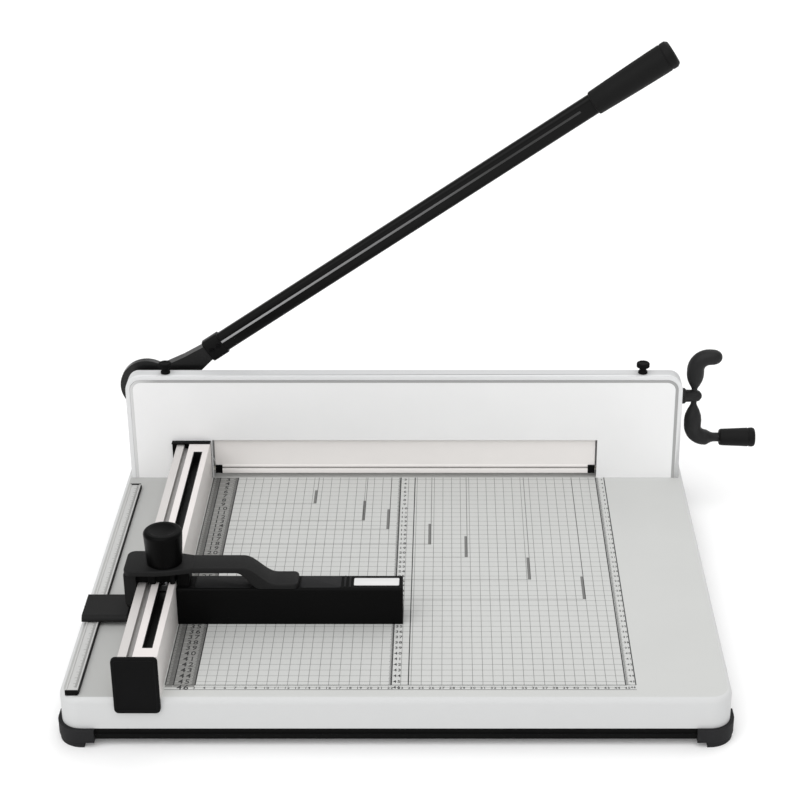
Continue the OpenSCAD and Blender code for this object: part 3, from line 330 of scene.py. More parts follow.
# %% Blacks
pan_plastic = finish("pan_plastic", grey(0.003), 0.6, grain=0.3, specular=0.07)
bumper_rubber_and_shade = finish("bumper_rubber_and_shade", (0.016, 0.016, 0.017), 0.7, grain=0.35, edge=1.2,
                       specular=0.15, wear=0.25)
fence_plastic_and_shade = finish("fence_plastic_and_shade", grey(0.0028), 0.55, grain=0.3, edge=0.8, specular=0.06, wear=0.2)
cap_plastic = finish("cap_plastic", (0.004, 0.004, 0.0042), 0.55, grain=0.25, edge=1.2,
                     specular=0.06, wear=0.2)
saddle_plastic = finish("saddle_plastic", grey(0.0112), 0.55, grain=0.35, edge=1.2, specular=0.12, wear=0.2)
knob_plastic = finish("knob_plastic", grey(0.0016), 0.4, grain=0.25, edge=1.0, specular=0.06, wear=0.25)
crank_coat = finish("crank_coat", (0.014, 0.014, 0.0145), 0.5, grain=0.4, grain_scale=500, mottle=0.12,
                    specular=0.2, wear=0.15)
grip_rubber = finish("grip_rubber", grey(0.006), 0.6, grain=0.4, mottle=0.12, edge=1.0, specular=0.14)
lever_rubber = finish("lever_rubber", grey(0.006), 0.6, grain=0.4, mottle=0.12, edge=1.0, specular=0.14)
lever_paint = finish("lever_paint", grey(0.006), 0.3, grain=0.1, mottle=0.08, coat=0.1,
                     specular=0.3, wear=0.2)
tube_paint = finish("tube_paint", grey(0.0026), 0.32, grain=0.1, mottle=0.08, coat=0.04,
                    specular=0.12, wear=0.15)
dress(pan_plastic, "base_pan")
dress(bumper_rubber_and_shade, "foot_front_left", "foot_front_right", "foot_rear_left", "foot_rear_right")
dress(fence_plastic_and_shade, "gauge_fence", "clamp_end_blocks", "strip_plugs", "rail_rear_cap")
dress(cap_plastic, "rail_front_cap", "thumb_screw_left", "thumb_screw_right")
dress(saddle_plastic, "gauge_saddle", "gauge_handle", "gauge_pointer")
dress(knob_plastic, "gauge_knob")
dress(crank_coat, "crank_arms", "crank_cap")
dress(grip_rubber, "crank_grip")
dress(lever_rubber, "lever_grip")
dress(lever_paint, "lever_hub")
dress(tube_paint, "lever_tube", "lever_rivets")
print("blacks dressed")

# %% [markdown]
# ## Bare metals
# The rail and the ruler strip are satin anodised extrusions, which look warm and nearly white under soft
# light. The rail's groove and its T-slot are tinted darker, because they lie in shade. The rail's ledge and
# left side are painted darker, a painted shade, and its right face lighter, a painted highlight. The hidden
# mechanism is plain steel, machined aluminium and bronze bushes.

# %% Metals
rail_alu = finish("rail_alu", (0.80, 0.76, 0.745), 0.5, metallic=0.3, grain=0.2, mottle=0.02, edge=0.4)
strip_alu = finish("strip_alu", (0.575, 0.575, 0.565), 0.5, metallic=0.3, grain=0.2, mottle=0.02, edge=0.3)
bright_steel = finish("bright_steel", (0.62, 0.62, 0.63), 0.3, metallic=1.0, grain=0.1, mottle=0.04, edge=0.3)
blade_steel = finish("blade_steel", (0.70, 0.70, 0.72), 0.25, metallic=1.0, grain=0.12, mottle=0.03, edge=0.1)
frame_alu = finish("frame_alu", (0.55, 0.56, 0.57), 0.5, metallic=0.8, grain=0.2, mottle=0.04, edge=0.4)
bush_bronze = finish("bush_bronze", (0.52, 0.36, 0.16), 0.4, metallic=1.0, grain=0.2, mottle=0.08, edge=0.3)
stick_plastic = finish("stick_plastic", (0.75, 0.73, 0.66), 0.5, mottle=0.04, edge=0.3)
SLOT_DARK = grey(0.003)
SLOT_FRONT = 15.2 * MM
SLOT_REAR = 24.2 * MM
SLOT_DEEP = 24 * MM
SLOT_HALF_INSIDE = 8.2 * MM
SLOT_HALF_MOUTH = 5 * MM
GROOVE_DEEP = 9 * MM
GROOVE_WIDE = 6.3 * MM
rail_top = rail_high.z
below_skin = rail_top - 0.2 * MM
slot_x = rail_right - 11.5 * MM
groove_left = rail_low.x + 8.6 * MM
# Painted highlight: the rail's right face is lighter.
tint_inside(rail_alu, (0.86, 0.83, 0.81), X=(rail_right - 0.3 * MM, rail_right + 1 * MM),
            Z=(table_z, rail_top - 0.5 * MM))
# Painted shade: the rail's ledge and left side are darker.
tint_inside(rail_alu, (0.64, 0.615, 0.60), X=(rail_low.x - 1 * MM, groove_left), Z=(table_z, below_skin))
tint_inside(rail_alu, (0.42, 0.41, 0.40), X=(groove_left - 0.1 * MM, groove_left + GROOVE_WIDE),
            Z=(rail_top - GROOVE_DEEP, below_skin))
tint_inside(rail_alu, SLOT_DARK, X=(slot_x - SLOT_HALF_INSIDE, slot_x + SLOT_HALF_INSIDE),
            Z=(rail_top - SLOT_DEEP, below_skin))
tint_inside(rail_alu, SLOT_DARK, X=(slot_x - SLOT_HALF_MOUTH, slot_x + SLOT_HALF_MOUTH),
            Y=(rail_low.y + SLOT_FRONT, rail_high.y - SLOT_REAR), Z=(rail_top - 1 * MM, FAR))
dress(rail_alu, "guide_rail")
dress(strip_alu, "ruler_strip")
dress(bright_steel, "foot_screws", "pivot_bolt", "pivot_washer", "drive_pin", "blade_screws", "clamp_screw",
      "grip_spindle", "clamp_pins", "gauge_bolt")
dress(blade_steel, "blade")
dress(frame_alu, "frame_post_left", "frame_post_right", "way_left", "way_right", "top_beam", "blade_carrier")
dress(bush_bronze, "screw_bush_left", "screw_bush_right", "pivot_bush", "drive_roller", "clamp_nut_left",
      "clamp_nut_right")
dress(stick_plastic, "cutting_stick")
print("metals dressed")

# %% [markdown]
# ## Helpers for new pieces
# A new piece starts as a bmesh in the frame's own place, so its object can stay at the origin. The helpers
# below add a box, pick edges and round them, turn a profile on a lathe, and extrude a face step by step.
# The first one makes the piece: it gives it a finish, lets it ride on a body of the machine, hides the
# solid that it stands for, and prints what it made.

# %% Helpers for pieces


def make_piece(name, bm, material, body, smooth_angle=None, instead_of=None):
    """Turns a bmesh into a piece that rides on a body, and that may stand for one of the solids."""
    piece = link_mesh(name, bm)
    piece.data.materials.append(material)
    if smooth_angle is not None:
        piece.data.shade_smooth()
        piece.data.set_sharp_from_angle(angle=math.radians(smooth_angle))
    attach(piece, body)
    if instead_of is not None:
        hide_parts(instead_of)
    print(name, "has", len(piece.data.polygons), "faces and rides on", body)


def add_box(bm, low, high):
    """Adds a closed box between two corners, and returns its vertices."""
    low = Vector(low)
    high = Vector(high)
    shape = Matrix.Translation((low + high) / 2) @ Matrix.Diagonal((*(high - low), 1))
    return bmesh.ops.create_cube(bm, size=1.0, matrix=shape)["verts"]


def edges_along(bm, axis, least=1 * MM):
    """Edges that reach further than a length along the x, y or z axis."""
    return [e for e in bm.edges if abs(getattr(e.verts[0].co - e.verts[1].co, axis)) > least]


def edges_above(bm, z):
    """Edges that lie wholly above a height."""
    return [e for e in bm.edges if min(v.co.z for v in e.verts) > z]


def own_edges(verts, test):
    """Edges between some vertices for which a test on the two ends holds."""
    chosen = set(verts)
    edges = {e for v in verts for e in v.link_edges if e.verts[0] in chosen and e.verts[1] in chosen}
    return [e for e in edges if test(e.verts[0].co, e.verts[1].co)]


def round_edges(bm, edges, width, segments=3):
    """Rounds some edges with an even bevel."""
    bmesh.ops.bevel(bm, geom=list(edges), offset=width, segments=segments, profile=0.5, affect="EDGES",
                    material=-1, clamp_overlap=True)


def spin_profile(bm, points, centre, axis):
    """Spins a line of points once round an axis, and closes the seam and the poles."""
    line = [bm.verts.new(point) for point in points]
    edges = [bm.edges.new(pair) for pair in zip(line, line[1:])]
    bmesh.ops.spin(bm, geom=line + edges, cent=centre, axis=axis, angle=math.tau, steps=40, use_merge=True)
    bmesh.ops.remove_doubles(bm, verts=bm.verts, dist=0.001 * MM)
    bmesh.ops.recalc_face_normals(bm, faces=bm.faces)


def turn_along_x(bm, profile, start):
    """Turns a profile of distances and radii, in mm, round a line that runs along X from a point."""
    line = [(start.x + along * MM, start.y, start.z + radius * MM) for along, radius in profile]
    spin_profile(bm, line, start, (1, 0, 0))


def extrude_on(bm, face):
    """Extrudes an end face in place, removes the old one once it lies inside, and returns the new one."""
    enclosed = all(len(e.link_faces) > 1 for e in face.edges)
    grown = bmesh.ops.extrude_face_region(bm, geom=[face])["geom"]
    if enclosed:
        bmesh.ops.delete(bm, geom=[face], context="FACES_ONLY")
    return next(g for g in grown if isinstance(g, bmesh.types.BMFace))


print("piece helpers ready")

# %% [markdown]
# ## Printed grid
# The table is printed with 10 mm squares. They are measured from the two faces that a sheet is laid
# against: across from the guide rail, and forward from the blade. On the machine this is a film of ink. It
# could be a pattern in the table's material, but a line that is a thin closed strip has a real place, can
# start and stop where it likes, and stays sharp from any distance. Each strip is one box, sunk a little
# into the table so that no two faces share a plane.

# %% Grid lines


def ink(name, colour, mottle=0.05):
    """A matt printed finish."""
    return finish(name, colour, 0.7, mottle=mottle, grain=0.0, edge=0.01, specular=0.1)


grid_ink = ink("grid_ink", (0.22, 0.22, 0.215))
scale_ink = ink("scale_ink", grey(0.06))
mark_ink = ink("mark_ink", (0.20, 0.20, 0.195))
band_ink = ink("band_ink", (0.28, 0.28, 0.27), mottle=0.08)
INK = 0.05 * MM
CELL = 10 * MM
FIRST_CELL = 3
grid_left = rail_right + 30 * MM
grid_right = rail_right + 448 * MM
grid_front = blade_y - 456 * MM
band_front = blade_y - 464 * MM


def strip(bm, x0, y0, x1, y1):
    """Prints one rectangle of ink on the table."""
    add_box(bm, (x0, y0, table_z - INK), (x1, y1, table_z + INK))


def line_along_y(bm, x, y0, y1, width):
    """Prints a line that runs from front to back."""
    strip(bm, x - width / 2, y0, x + width / 2, y1)


def line_along_x(bm, y, x0, x1, width):
    """Prints a line that runs from left to right."""
    strip(bm, x0, y - width / 2, x1, y + width / 2)


bm = bmesh.new()
columns = round((grid_right - rail_right) / CELL)
rows = round((blade_y - grid_front) / CELL)
for k in range(FIRST_CELL, columns + 1):
    line_along_y(bm, rail_right + k * CELL, grid_front, plate_y, width=0.5 * MM)
for k in range(FIRST_CELL, rows + 1):
    line_along_x(bm, blade_y - k * CELL, grid_left, grid_right, width=0.4 * MM)
make_piece("table_grid", bm, grid_ink, "base")

# %% [markdown]
# ## Rulers
# Three rulers run from front to back, at the rail, in the middle and at the right, and a band of numbers
# crosses the front of the table. The ticks are strips as before, longer at each half and whole centimetre.
# The rail's ruler also has a grey ground, printed as one block for each centimetre.

# %% Ruler lines and ticks
left_rule = (rail_right + 1.5 * MM, rail_right + 9.5 * MM, rail_right + 30.5 * MM)
middle_rule = (rail_right + 221 * MM, rail_right + 237.4 * MM)
right_rule = (rail_right + 448.5 * MM, rail_right + 458.5 * MM)
FIRST_TICK = 3


def tick_size(k, whole, half, plain):
    """Picks a size for the tick of a whole centimetre, of a half one, or of any other millimetre."""
    return whole if k % 10 == 0 else half if k % 5 == 0 else plain


def ticks_along_y(bm, x, side, short, width):
    """Prints millimetre ticks beside a line that runs front to back; side is 1 for right, -1 for left."""
    count = round((plate_y - grid_front) / MM)
    first = math.ceil((blade_y - plate_y) / MM)
    for k in range(first, first + count):
        ends = sorted((x, x + side * short * tick_size(k, 1.6, 1.3, 1.0)))
        line_along_x(bm, blade_y - k * MM, ends[0], ends[1], width)


bm = bmesh.new()
for x in (*left_rule, *middle_rule, *right_rule):
    line_along_y(bm, x, grid_front, plate_y, width=1.1 * MM)
ticks_along_y(bm, left_rule[1], -1, short=4.8 * MM, width=0.45 * MM)
ticks_along_y(bm, left_rule[2], -1, short=3.4 * MM, width=0.45 * MM)
ticks_along_y(bm, middle_rule[0], -1, short=2.5 * MM, width=0.35 * MM)
ticks_along_y(bm, right_rule[0], 1, short=3.0 * MM, width=0.25 * MM)
for y in (grid_front, band_front):
    line_along_x(bm, y, left_rule[0], right_rule[1], width=0.6 * MM)
for k in range(FIRST_TICK, 10 * columns):
    reach = tick_size(k, 2.2, 1.4, 1.4) * MM
    line_along_y(bm, rail_right + k * MM, grid_front - reach, grid_front, width=0.25 * MM)
make_piece("table_rulers", bm, scale_ink, "base")

# %% Ground of the left ruler
BLOCK_GAP = 0.4 * MM
bm = bmesh.new()
for k in range(FIRST_CELL, rows + 1):
    front = blade_y - k * CELL
    back = min(plate_y, front + CELL - BLOCK_GAP)
    for x0, x1 in zip(left_rule, left_rule[1:]):
        add_box(bm, (x0, front, table_z - INK), (x1 - BLOCK_GAP, back, table_z + INK / 2))
make_piece("left_ruler_band", bm, band_ink, "base")

# %% [markdown]
# ## Numbers
# Each ruler counts centimetres from its own face. A digit is made once, as text turned into a thin solid,
# and copied wherever it is needed. The text's front, back and sides come apart, so they are merged first.
# Only plain numbers are printed.

# %% Digits


def digit_solid(character):
    """One digit, a unit high and a little thick, as a closed mesh at the origin."""
    text = bpy.data.curves.new("digit", "FONT")
    text.body = character
    text.resolution_u = 2
    text.extrude = 0.01
    text.offset = 0.012
    text.align_x = "CENTER"
    holder = bpy.data.objects.new("digit", text)
    mesh = bpy.data.meshes.new_from_object(holder)
    bpy.data.objects.remove(holder)
    bpy.data.curves.remove(text)
    bm = bmesh.new()
    bm.from_mesh(mesh)
    bmesh.ops.remove_doubles(bm, verts=bm.verts, dist=0.0001)
    bmesh.ops.recalc_face_normals(bm, faces=bm.faces)
    bm.to_mesh(mesh)
    bm.free()
    return mesh


digits = {character: digit_solid(character) for character in "0123456789"}
print("digits:", len(digits))

# %% Numbers
DIGIT_PITCH = 0.62
DIGIT_SINK = 0.35
DIGIT_THICK = 0.005


def write_number(bm, number, x, y, height):
    """Writes a number flat on the table, centred on a point, to be read from the front."""
    characters = str(number)
    size = Matrix.Diagonal((height, height, DIGIT_THICK, 1))
    for place, character in enumerate(characters):
        first = len(bm.verts)
        bm.from_mesh(digits[character])
        bm.verts.ensure_lookup_table()
        across = x + (place - (len(characters) - 1) / 2) * DIGIT_PITCH * height
        spot = Matrix.Translation((across, y - DIGIT_SINK * height, table_z + INK))
        bmesh.ops.transform(bm, matrix=spot @ size, verts=bm.verts[first:])


bm = bmesh.new()
for k in range(FIRST_CELL, rows + 1):
    y = blade_y - k * CELL
    write_number(bm, k, (left_rule[1] + left_rule[2]) / 2 - 1 * MM, y, height=10.5 * MM)
    write_number(bm, k, (middle_rule[0] + middle_rule[1]) / 2 - 3 * MM, y, height=6.5 * MM)
    write_number(bm, k, right_rule[0] + 7 * MM, y, height=4.5 * MM)
for k in range(FIRST_CELL - 1, columns + 1):
    write_number(bm, k, rail_right + k * CELL, (grid_front + band_front) / 2 - 1 * MM, height=5 * MM)
make_piece("table_numbers", bm, scale_ink, "base")

# %% [markdown]
# ## Sheet sizes
# For each common sheet the table has a corner mark, where the sheet's corner falls when it lies against
# the rail and the blade: a thin line each way, and a broad bar that ends at the corner.

# %% Corner marks
SHEETS = ((420, 297), (364, 257), (297, 210), (257, 182), (210, 148), (182, 128), (125, 88))
BAR_LONGEST = 46 * MM
BAR_WIDE = 3 * MM
bm = bmesh.new()
for width, depth in SHEETS:
    x = rail_right + width * MM
    y = blade_y - depth * MM
    line_along_y(bm, x, y, plate_y, width=0.7 * MM)
    line_along_x(bm, y, grid_left, x, width=0.6 * MM)
    strip(bm, x - BAR_WIDE, y, x, y + min(BAR_LONGEST, (plate_y - y) / 2))
make_piece("sheet_marks", bm, mark_ink, "base")

# %% [markdown]
# ## Trim on the back gauge
# A blank white plate lies in the fence's top, at the end away from the rail, and beside it the moulding
# has two small ribs. The top of the fence is broken by two long, slightly paler panels. They are boxes
# with rounded corners, set half into the fence so that they stand a little proud, and the plan corners get
# a larger radius than the upper edges, as on a pressed plate.

# %% Plates on the fence
panel_plastic = finish("panel_plastic", (0.0105, 0.0105, 0.011), 0.55, grain=0.35, edge=0.5, specular=0.14)
label_white = finish("label_white", (0.71, 0.71, 0.705), 0.35, grain=0.05, mottle=0.01, edge=0.3)
fence_low, fence_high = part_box("gauge_fence")
handle_low, handle_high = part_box("gauge_handle")
fence_top = fence_high.z
PLATE_SINK = 1 * MM
PLATE_EDGE = 0.3 * MM


def fence_plate(bm, left, right, inset, rise, corner):
    """Adds a plate on the fence's top, inset from its sides, with rounded plan corners and soft edges."""
    before = set(bm.verts)
    top = fence_top + rise
    add_box(bm, (left, fence_low.y + inset, fence_top - PLATE_SINK), (right, fence_high.y - inset, top))
    upright = [e for e in edges_along(bm, "z", PLATE_EDGE) if e.verts[0] not in before]
    round_edges(bm, upright, corner, 4)
    rim = [e for e in edges_above(bm, top - PLATE_EDGE / 4)
           if e.verts[0] not in before and e.calc_face_angle(0) > 1.0]
    round_edges(bm, rim, PLATE_EDGE, 2)


label_right = fence_high.x - 3.5 * MM
label_left = label_right - 46 * MM
bm = bmesh.new()
fence_plate(bm, label_left, label_right, inset=7 * MM, rise=0.6 * MM, corner=1.5 * MM)
make_piece("fence_label", bm, label_white, "gauge", 40)

rib_left = label_left - 10 * MM
near_panel = handle_low.x + 1 * MM
bm = bmesh.new()
for left, right in ((handle_high.x + 2 * MM, rib_left - 3 * MM), (near_panel, near_panel + 58 * MM)):
    fence_plate(bm, left, right, inset=2.5 * MM, rise=0.4 * MM, corner=3 * MM)
for left, rise in ((rib_left, 1.2 * MM), (rib_left + 5 * MM, 0.8 * MM)):
    fence_plate(bm, left, left + 2 * MM, inset=3 * MM, rise=rise, corner=0.8 * MM)
make_piece("fence_panels", bm, panel_plastic, "gauge", 40)

# %% [markdown]
# ## Ruler strip
# The strip at the table's left edge has a black strip along its right side, which draws the dark line beside
# it, a painted shade of the strip's side and its shadow, and a fine scale on its top. The black strip is a
# long box with its upper edges rounded.

# %% Shade line and scale of the strip
strip_low, strip_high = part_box("ruler_strip")
SHADE_LINE_WIDE = 1.0 * MM
HALF_TICK = 0.12 * MM
# Painted shade: a black strip beside the ruler strip stands in for its shaded side and shadow.
bm = bmesh.new()
add_box(bm, (strip_high.x, strip_low.y, table_z - INK),
        (strip_high.x + SHADE_LINE_WIDE, strip_high.y, strip_high.z - 1 * MM))
round_edges(bm, edges_above(bm, table_z), 0.4 * MM, 2)
make_piece("strip_shade_line", bm, bumper_rubber_and_shade, "base", 40)

bm = bmesh.new()
scale_x = strip_high.x - 1.2 * MM
strip_ticks = int((strip_high.y - strip_low.y) / MM) - 4
for k in range(2, strip_ticks):
    y = strip_high.y - k * MM
    reach = tick_size(k, 5.0, 3.6, 2.4) * MM
    add_box(bm, (scale_x - reach, y - HALF_TICK, strip_high.z - INK),
            (scale_x, y + HALF_TICK, strip_high.z + INK))
make_piece("strip_scale", bm, mark_ink, "base")

# %% [markdown]
# ## Lever trim
# A pale line runs along the middle of the lever tube's front face, brightest near the hub: a painted
# highlight of the gloss paint, made as a slim pale strip that fades to black towards the grip. It follows the
# tube, so it is drawn level at the pivot and then raised to the lever's own angle, like the tube. A collar
# closes the tube's mouth at the neck, with two dark screw heads on each side.

# %% Painted highlight on the lever
pivot = middle("pivot_bush")
tube_low, tube_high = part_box("lever_tube")
LEVER_ANGLE = math.radians(34.1)
LEVER_OFFSET = 5 * MM
TUBE_HALF = 12 * MM
NECK = 84 * MM
tube_front = tube_low.y - pivot.y
tube_back = tube_high.y - pivot.y
raise_lever = Matrix.Translation(pivot) @ Matrix.Rotation(-LEVER_ANGLE, 4, "Y")
highlight_end = (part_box("lever_grip")[0] - pivot).xz.length - 6 * MM
# Painted highlight: pale near the hub, fading to black along the tube.
highlight_strip_paint = finish("highlight_strip_paint", (0.34, 0.34, 0.345), 0.35, mottle=0.03, grain=0.05, edge=0.2)
fade_along(highlight_strip_paint, "X", pivot.x + 120 * MM, pivot.x + 400 * MM, grey(0.018))
bm = bmesh.new()
add_box(bm, (NECK + 19 * MM, tube_front - 0.25 * MM, LEVER_OFFSET + 0.8 * MM),
        (highlight_end, tube_front + 0.8 * MM, LEVER_OFFSET + 3.4 * MM))
round_edges(bm, edges_along(bm, "x"), 0.2 * MM, 2)
bmesh.ops.transform(bm, matrix=raise_lever, verts=bm.verts)
make_piece("lever_highlight_strip", bm, highlight_strip_paint, "lever", 40)

# %% Collar and its screws
COLLAR_WALL = 1.2 * MM
COLLAR_RIM = 1.5 * MM
COLLAR_SWELL = 0.8 * MM
bm = bmesh.new()
add_box(bm, (NECK - 2 * MM, tube_front - COLLAR_WALL, LEVER_OFFSET - TUBE_HALF - COLLAR_RIM),
        (NECK + 18 * MM, tube_back + COLLAR_WALL, LEVER_OFFSET + TUBE_HALF + COLLAR_RIM))
round_edges(bm, edges_along(bm, "x"), 5.5 * MM, 5)
ends = [f for f in bm.faces if abs(f.normal.x) > 0.9]
bmesh.ops.inset_region(bm, faces=ends, thickness=1.0 * MM)
for face in ends:
    bmesh.ops.translate(bm, vec=(math.copysign(COLLAR_SWELL, face.normal.x), 0, 0), verts=face.verts)
bmesh.ops.transform(bm, matrix=raise_lever, verts=bm.verts)
make_piece("tube_collar", bm, tube_paint, "lever", 35)


def add_screw_head(bm, spot, side, radius):
    """Adds a socket screw's head on a face that looks along Y; side is 1 to the back, -1 to the front."""
    first = set(bm.faces)
    turn = Matrix.Rotation(math.radians(-90 * side), 4, "X")
    bmesh.ops.create_cone(bm, cap_ends=True, segments=24, radius1=radius, radius2=0.9 * radius,
                          depth=0.7 * radius, matrix=Matrix.Translation(spot) @ turn)
    caps = [f for f in bm.faces if f not in first and f.normal.y * side > 0.9]
    bmesh.ops.inset_region(bm, faces=caps, thickness=0.4 * radius)
    bmesh.ops.translate(bm, vec=(0, -side * 0.3 * radius, 0), verts=caps[0].verts)


COLLAR_HEAD = 3.4 * MM
HEAD_PROUD = 2 * MM
bm = bmesh.new()
for along in (NECK + 3.5 * MM, NECK + 12.5 * MM):
    add_screw_head(bm, (along, tube_front - HEAD_PROUD, LEVER_OFFSET), -1, COLLAR_HEAD)
    add_screw_head(bm, (along, tube_back + HEAD_PROUD, LEVER_OFFSET), 1, COLLAR_HEAD)
bmesh.ops.transform(bm, matrix=raise_lever, verts=bm.verts)
make_piece("collar_screws", bm, cap_plastic, "lever", 30)

# %% [markdown]
# ## Hand grip
# The rubber grip at the lever's end flares a little towards the hand, and ends in a flat face with a
# shallow dish and a ring just before it. It is turned like a handle on a lathe: one profile, spun round the
# tube's axis while the lever is level, and then raised with it.

# %% Hand grip
HAND = ((0, 0), (0, 12.6), (0.5, 13.5), (1.8, 14), (26, 14.7), (52, 15.4), (80, 15.9), (92, 16), (92.4, 15.4),
        (93.6, 15.4), (94, 16), (99.4, 16), (101, 14.95), (102.4, 13.9), (103, 12.9), (103, 11),
        (102.2, 10.4), (102.2, 0))
HAND_START = 614 * MM
bm = bmesh.new()
turn_along_x(bm, HAND, Vector((HAND_START, (tube_front + tube_back) / 2, LEVER_OFFSET)))
bmesh.ops.transform(bm, matrix=raise_lever, verts=bm.verts)
make_piece("hand_grip", bm, lever_rubber, "lever", 35, instead_of="lever_grip")

# %% [markdown]
# ## Crank
# The crank's two arms are castings that swell like a pear and then bend outwards. A cone and a torus would
# meet in creases, so each arm is one ring carried along its path: the ring is extruded, moved, turned and
# scaled from one station to the next. The boss is a profile spun round the screw's axis.

# %% A sweep


def sweep(bm, stations):
    """Carries a ring along stations of centre, angle from upright in the XZ plane, and radius."""
    frames = [Matrix.Translation(centre) @ Matrix.Rotation(angle, 4, "Y") @ Matrix.Scale(radius, 4)
              for centre, angle, radius in stations]
    ring = bmesh.ops.create_circle(bm, cap_ends=True, segments=28, radius=1.0, matrix=frames[0])
    face = ring["verts"][0].link_faces[0]
    for before, after in zip(frames, frames[1:]):
        face = extrude_on(bm, face)
        bmesh.ops.transform(bm, matrix=after @ before.inverted(), verts=face.verts)


print("sweep ready")

# %% Crank arms
arms_low, arms_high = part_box("crank_arms")
screw = middle("clamp_screw")
STEM = 16 * MM
BEND = 15.5 * MM
BEND_STEPS = 9
bend_x = arms_high.x - STEM
arm_x = bend_x - BEND
UPPER = ((0, 3.6), (9, 3.4), (11.5, 4.4), (14.7, 6.3), (19.6, 8.5), (24, 9.6), (28, 10), (33.5, 10))
LOWER = ((-2, 3.6), (10, 3.4), (13, 4.6), (18, 7.0), (24.5, 9.4), (31, 10.2), (38, 10))
TIP = ((3, 9.0), (6, 8.7), (8.5, 8.0), (10.8, 6.8), (12.6, 5.2), (13.8, 3.4), (14.4, 1.5))
ELBOW = ((2, 8.6), (4, 7.4), (6, 6.3), (8.5, 5.5), (11, 5.3), (16, 5.3))
BOSS = ((0, 0), (0, 8.4), (0.8, 9.2), (4.4, 9.2), (5.2, 8.2), (6.4, 7.2), (17, 7.0), (20, 6.4), (22, 5.4),
        (22, 0))


def arm_stations(rises, ends, side):
    """Stations of an arm that rises (side 1) or drops (side -1) from the screw, bends and runs outwards."""
    upright = 0 if side > 0 else math.pi
    path = [((arm_x, screw.y, screw.z + side * rise * MM), upright, radius * MM) for rise, radius in rises]
    top = rises[-1][0] * MM
    for step in range(1, BEND_STEPS + 1):
        turn = math.pi / 2 * step / BEND_STEPS
        height = screw.z + side * (top + BEND * math.sin(turn))
        centre = (bend_x - BEND * math.cos(turn), screw.y, height)
        path.append((centre, upright + side * turn, (10 - 0.09 * step) * MM))
    reach = screw.z + side * (top + BEND)
    path += [((bend_x + run * MM, screw.y, reach), math.pi / 2, radius * MM) for run, radius in ends]
    return path


bm = bmesh.new()
sweep(bm, arm_stations(UPPER, TIP, 1))
sweep(bm, arm_stations(LOWER, ELBOW, -1))
turn_along_x(bm, BOSS, Vector((arms_low.x, screw.y, screw.z)))
make_piece("crank_casting", bm, crank_coat, "crank", 40, instead_of="crank_arms")

# %% Crank grip
GRIP = ((39, 0), (39, 3.6), (0, 3.6), (0, 8.2), (0.8, 9.2), (2.5, 9.75), (31, 10.9), (33, 11), (33.5, 10.5),
        (34.3, 10.5), (34.8, 11.05), (38.5, 11.3), (40.6, 10.6), (41.7, 9), (42, 6.5), (42, 0))
bm = bmesh.new()
turn_along_x(bm, GRIP, Vector((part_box("crank_grip")[0].x, screw.y, middle("crank_grip").z)))
make_piece("turning_grip", bm, grip_rubber, "crank_grip", 35, instead_of="crank_grip")

# %% [markdown]
# ## Gauge saddle
# The saddle that rides on the rail is a moulding: a plate with broad corners on top, a body under it that is
# set back into shadow, and a leg that comes down past the rail's left side to carry the pointer. The body is
# given the fence's deeper black, a painted shade under the plate. The plate is drawn from the few corners of
# its plan and extruded. Its upright edges get a large radius first and the top rim a small one after, so that
# the rim follows the corners.

# %% Saddle plate and leg
saddle_low, saddle_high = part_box("gauge_saddle")
pointer_low, pointer_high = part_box("gauge_pointer")
gauge_y = middle("gauge_knob").y
PLATE = 5.5 * MM
LEG_INSET = 3 * MM
LEG_THICK = 12 * MM
leg_x = saddle_low.x
plate_under = saddle_high.z - PLATE


def outline_solid(bm, corners, rise):
    """Extrudes a face drawn from a few corners, and returns the vertices of both ends."""
    base = [bm.verts.new(corner) for corner in corners]
    raised = list(extrude_on(bm, bm.faces.new(base)).verts)
    bmesh.ops.translate(bm, vec=rise, verts=raised)
    bmesh.ops.recalc_face_normals(bm, faces=bm.faces)
    return base + raised


bm = bmesh.new()
plan = ((leg_x, saddle_low.y), (slot_x, saddle_low.y), (saddle_high.x, fence_low.y),
        (saddle_high.x, fence_high.y), (slot_x, saddle_high.y), (leg_x, saddle_high.y))
outline_solid(bm, [(x, y, plate_under) for x, y in plan], (0, 0, PLATE))
broad = [e for e in edges_along(bm, "z", PLATE / 2) if e.verts[0].co.x < slot_x + 1 * MM]
round_edges(bm, broad, 8 * MM, 6)
rim = [e for e in edges_above(bm, saddle_high.z - PLATE / 4)
       if min(v.co.x for v in e.verts) < saddle_high.x - 0.01 * MM]
round_edges(bm, rim, 1.4 * MM, 3)
leg_front = saddle_low.y + LEG_INSET
leg_back = saddle_high.y - LEG_INSET
leg_top = plate_under + 0.5 * MM
side_view = ((leg_front, leg_top), (leg_back, leg_top), (leg_back, pointer_low.z),
             (gauge_y + 4 * MM, pointer_low.z), (gauge_y - 9 * MM, pointer_high.z + 5 * MM),
             (leg_front, pointer_high.z + 14 * MM))
leg = outline_solid(bm, [(leg_x, y, z) for y, z in side_view], (LEG_THICK, 0, 0))
leg_edges = own_edges(leg, lambda a, b: abs(a.x - b.x) < 0.1 * MM and max(a.z, b.z) < plate_under)
round_edges(bm, leg_edges, 1.5 * MM, 3)
make_piece("saddle_top", bm, saddle_plastic, "gauge", 40, instead_of="gauge_saddle")

# %% Saddle body
over_rail = rail_top + 0.3 * MM
body_right = fence_low.x - 0.1 * MM
lug_front = saddle_low.y + 5 * MM
lug_back = saddle_low.y + 14 * MM


def saddle_block(bm, x0, x1, y0, y1, bottom=over_rail):
    """Adds a block that reaches up to the saddle's plate, with its upright edges rounded."""
    block = add_box(bm, (x0, y0, bottom), (x1, y1, plate_under))
    round_edges(bm, own_edges(block, lambda a, b: abs(a.z - b.z) > 1 * MM), 1.5 * MM, 3)


